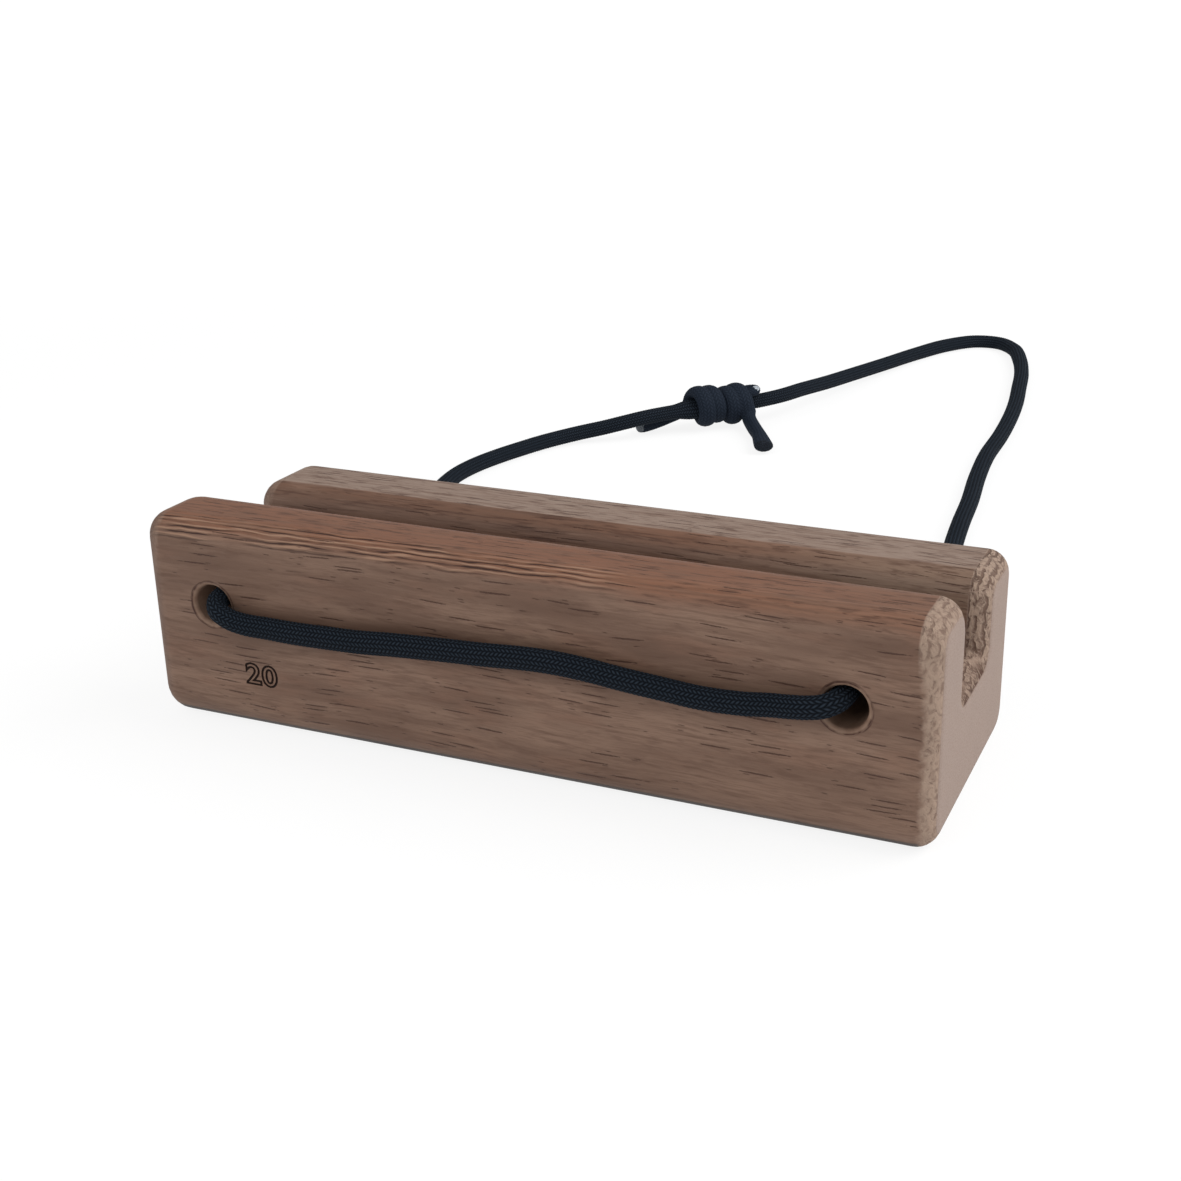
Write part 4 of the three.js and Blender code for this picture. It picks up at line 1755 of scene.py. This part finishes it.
@dataclass
class Studio:
    """A pale floor, soft light, and a camera where the photograph was taken from.

    The camera's angles are in degrees, and its lens and the floor's two distances in millimetres.
    """

    camera_at: Place = (0.13644, -0.28525, 0.15404)
    azimuth: float = 24.799
    elevation: float = 21.732
    roll: float = -1.460
    lens: float = 53.203
    floor_size: float = 60.0
    floor_colour: Colour = (236, 236, 236)
    whiteness: float = 0.8
    glow: float = 1.08
    shadow_reach: float = 350.0
    white_from: float = 900.0
    soft_light: float = 0.42
    lamps: tuple[tuple[str, Place, float, float], ...] = (
        ("key_lamp", (0.95, 0.35, 0.95), 1.1, 13.0),
        ("fill_lamp", (-0.7, -1.1, 0.9), 1.3, 7.0),
    )

    def build(self) -> None:
        """Sets the camera, the floor, the lamps and the world."""
        self._camera()
        self._floor()
        for lamp in self.lamps:
            self._lamp(*lamp)
        self._world()
        bpy.context.scene.view_settings.view_transform = "Standard"

    def _camera(self) -> None:
        """The camera, from its place and its three angles."""
        azimuth, elevation, roll = (math.radians(a) for a in (self.azimuth, self.elevation, self.roll))
        back = Vector((
            math.sin(azimuth) * math.cos(elevation),
            -math.cos(azimuth) * math.cos(elevation),
            math.sin(elevation),
        ))
        level = Vector((0, 0, 1)).cross(back).normalized()
        upright = back.cross(level)
        right = level * math.cos(roll) + upright * math.sin(roll)
        up = upright * math.cos(roll) - level * math.sin(roll)
        data = bpy.data.cameras.new("photo_camera")
        data.lens = self.lens
        camera = bpy.data.objects.new("photo_camera", data)
        bpy.context.scene.collection.objects.link(camera)
        turned = Matrix((right, up, back)).transposed().to_4x4()
        camera.matrix_world = Matrix.Translation(self.camera_at) @ turned
        bpy.context.scene.camera = camera

    def _floor(self) -> None:
        """A wide pale floor that shows nearly white and keeps the block's shadow."""
        put_all_down()
        bpy.ops.mesh.primitive_plane_add(size=self.floor_size, location=(0, 0, 0))
        floor = Workpiece("floor")
        graph = Graph.of_material("pale_floor")
        diffuse = graph.node("ShaderNodeBsdfDiffuse", inputs={"Color": linear(self.floor_colour)})
        white = graph.node("ShaderNodeEmission", inputs={"Color": (1, 1, 1, 1), "Strength": self.glow})
        rays = graph.node("ShaderNodeLightPath").outputs
        glossy = Signal(graph, rays["Is Glossy Ray"])
        seen = Signal(graph, rays["Is Camera Ray"]).math("MAXIMUM", glossy)
        x, y, _ = graph.place()
        far = ((x * x + y * y) ** 0.5).ramp(self.shadow_reach, self.white_from)
        share = seen * (self.whiteness + (1 - self.whiteness) * far)
        mixed = graph.node(
            "ShaderNodeMixShader",
            inputs={0: share, 1: Signal(graph, diffuse.outputs[0]), 2: Signal(graph, white.outputs[0])},
        )
        graph.node("ShaderNodeOutputMaterial", inputs={"Surface": Signal(graph, mixed.outputs[0])})
        floor.dress(graph.owner)

    def _lamp(self, name: str, place: Place, size: float, power: float) -> None:
        """Hangs up a square soft lamp that faces the block.

        Args:
            name: its name.
            place: where it hangs.
            size: how long its sides are.
            power: how strong it is, in watts.
        """
        data = bpy.data.lights.new(name, "AREA")
        data.size = size
        data.energy = power
        lamp = bpy.data.objects.new(name, data)
        bpy.context.scene.collection.objects.link(lamp)
        lamp.location = place
        lamp.rotation_mode = "QUATERNION"
        lamp.rotation_quaternion = (-Vector(place)).to_track_quat("-Z", "Y")

    def _world(self) -> None:
        """White where the camera sees it, and a plain soft light for the rest."""
        world = bpy.data.worlds.new("soft_world")
        bpy.context.scene.world = world
        graph = Graph(world)
        path = graph.node("ShaderNodeLightPath")
        soft = graph.node("ShaderNodeBackground", inputs={"Color": (1, 1, 1, 1), "Strength": self.soft_light})
        white = graph.node("ShaderNodeBackground", inputs={"Color": (1, 1, 1, 1), "Strength": 1.0})
        shaders = {
            0: Signal(graph, path.outputs["Is Camera Ray"]),
            1: Signal(graph, soft.outputs[0]),
            2: Signal(graph, white.outputs[0]),
        }
        mixed = graph.node("ShaderNodeMixShader", inputs=shaders)
        graph.node("ShaderNodeOutputWorld", inputs={"Surface": Signal(graph, mixed.outputs[0])})


def report(piece: bpy.types.Object) -> None:
    """Logs one piece's name and size.

    Args:
        piece: the finished piece.
    """
    piece.data.calc_loop_triangles()
    size = ", ".join(f"{side / MM:.1f}" for side in piece.dimensions)
    LOG.info("%s: %d triangles, %s mm", piece.name, len(piece.data.loop_triangles), size)


def main() -> None:
    """Builds the studio and every piece, and writes down how large the object is."""
    logging.basicConfig(level=logging.INFO, format="%(message)s")
    Studio().build()
    sheath = SHEATH.material()
    knot = Knot()
    turns = knot.build(PULLED_TIGHT.material())
    report(turns)
    report(HangingLoop().build(sheath, turns, knot.place))
    report(FrontStrand().build(sheath))
    report(WoodenBlock().build())


if __name__ == "__main__":
    main()
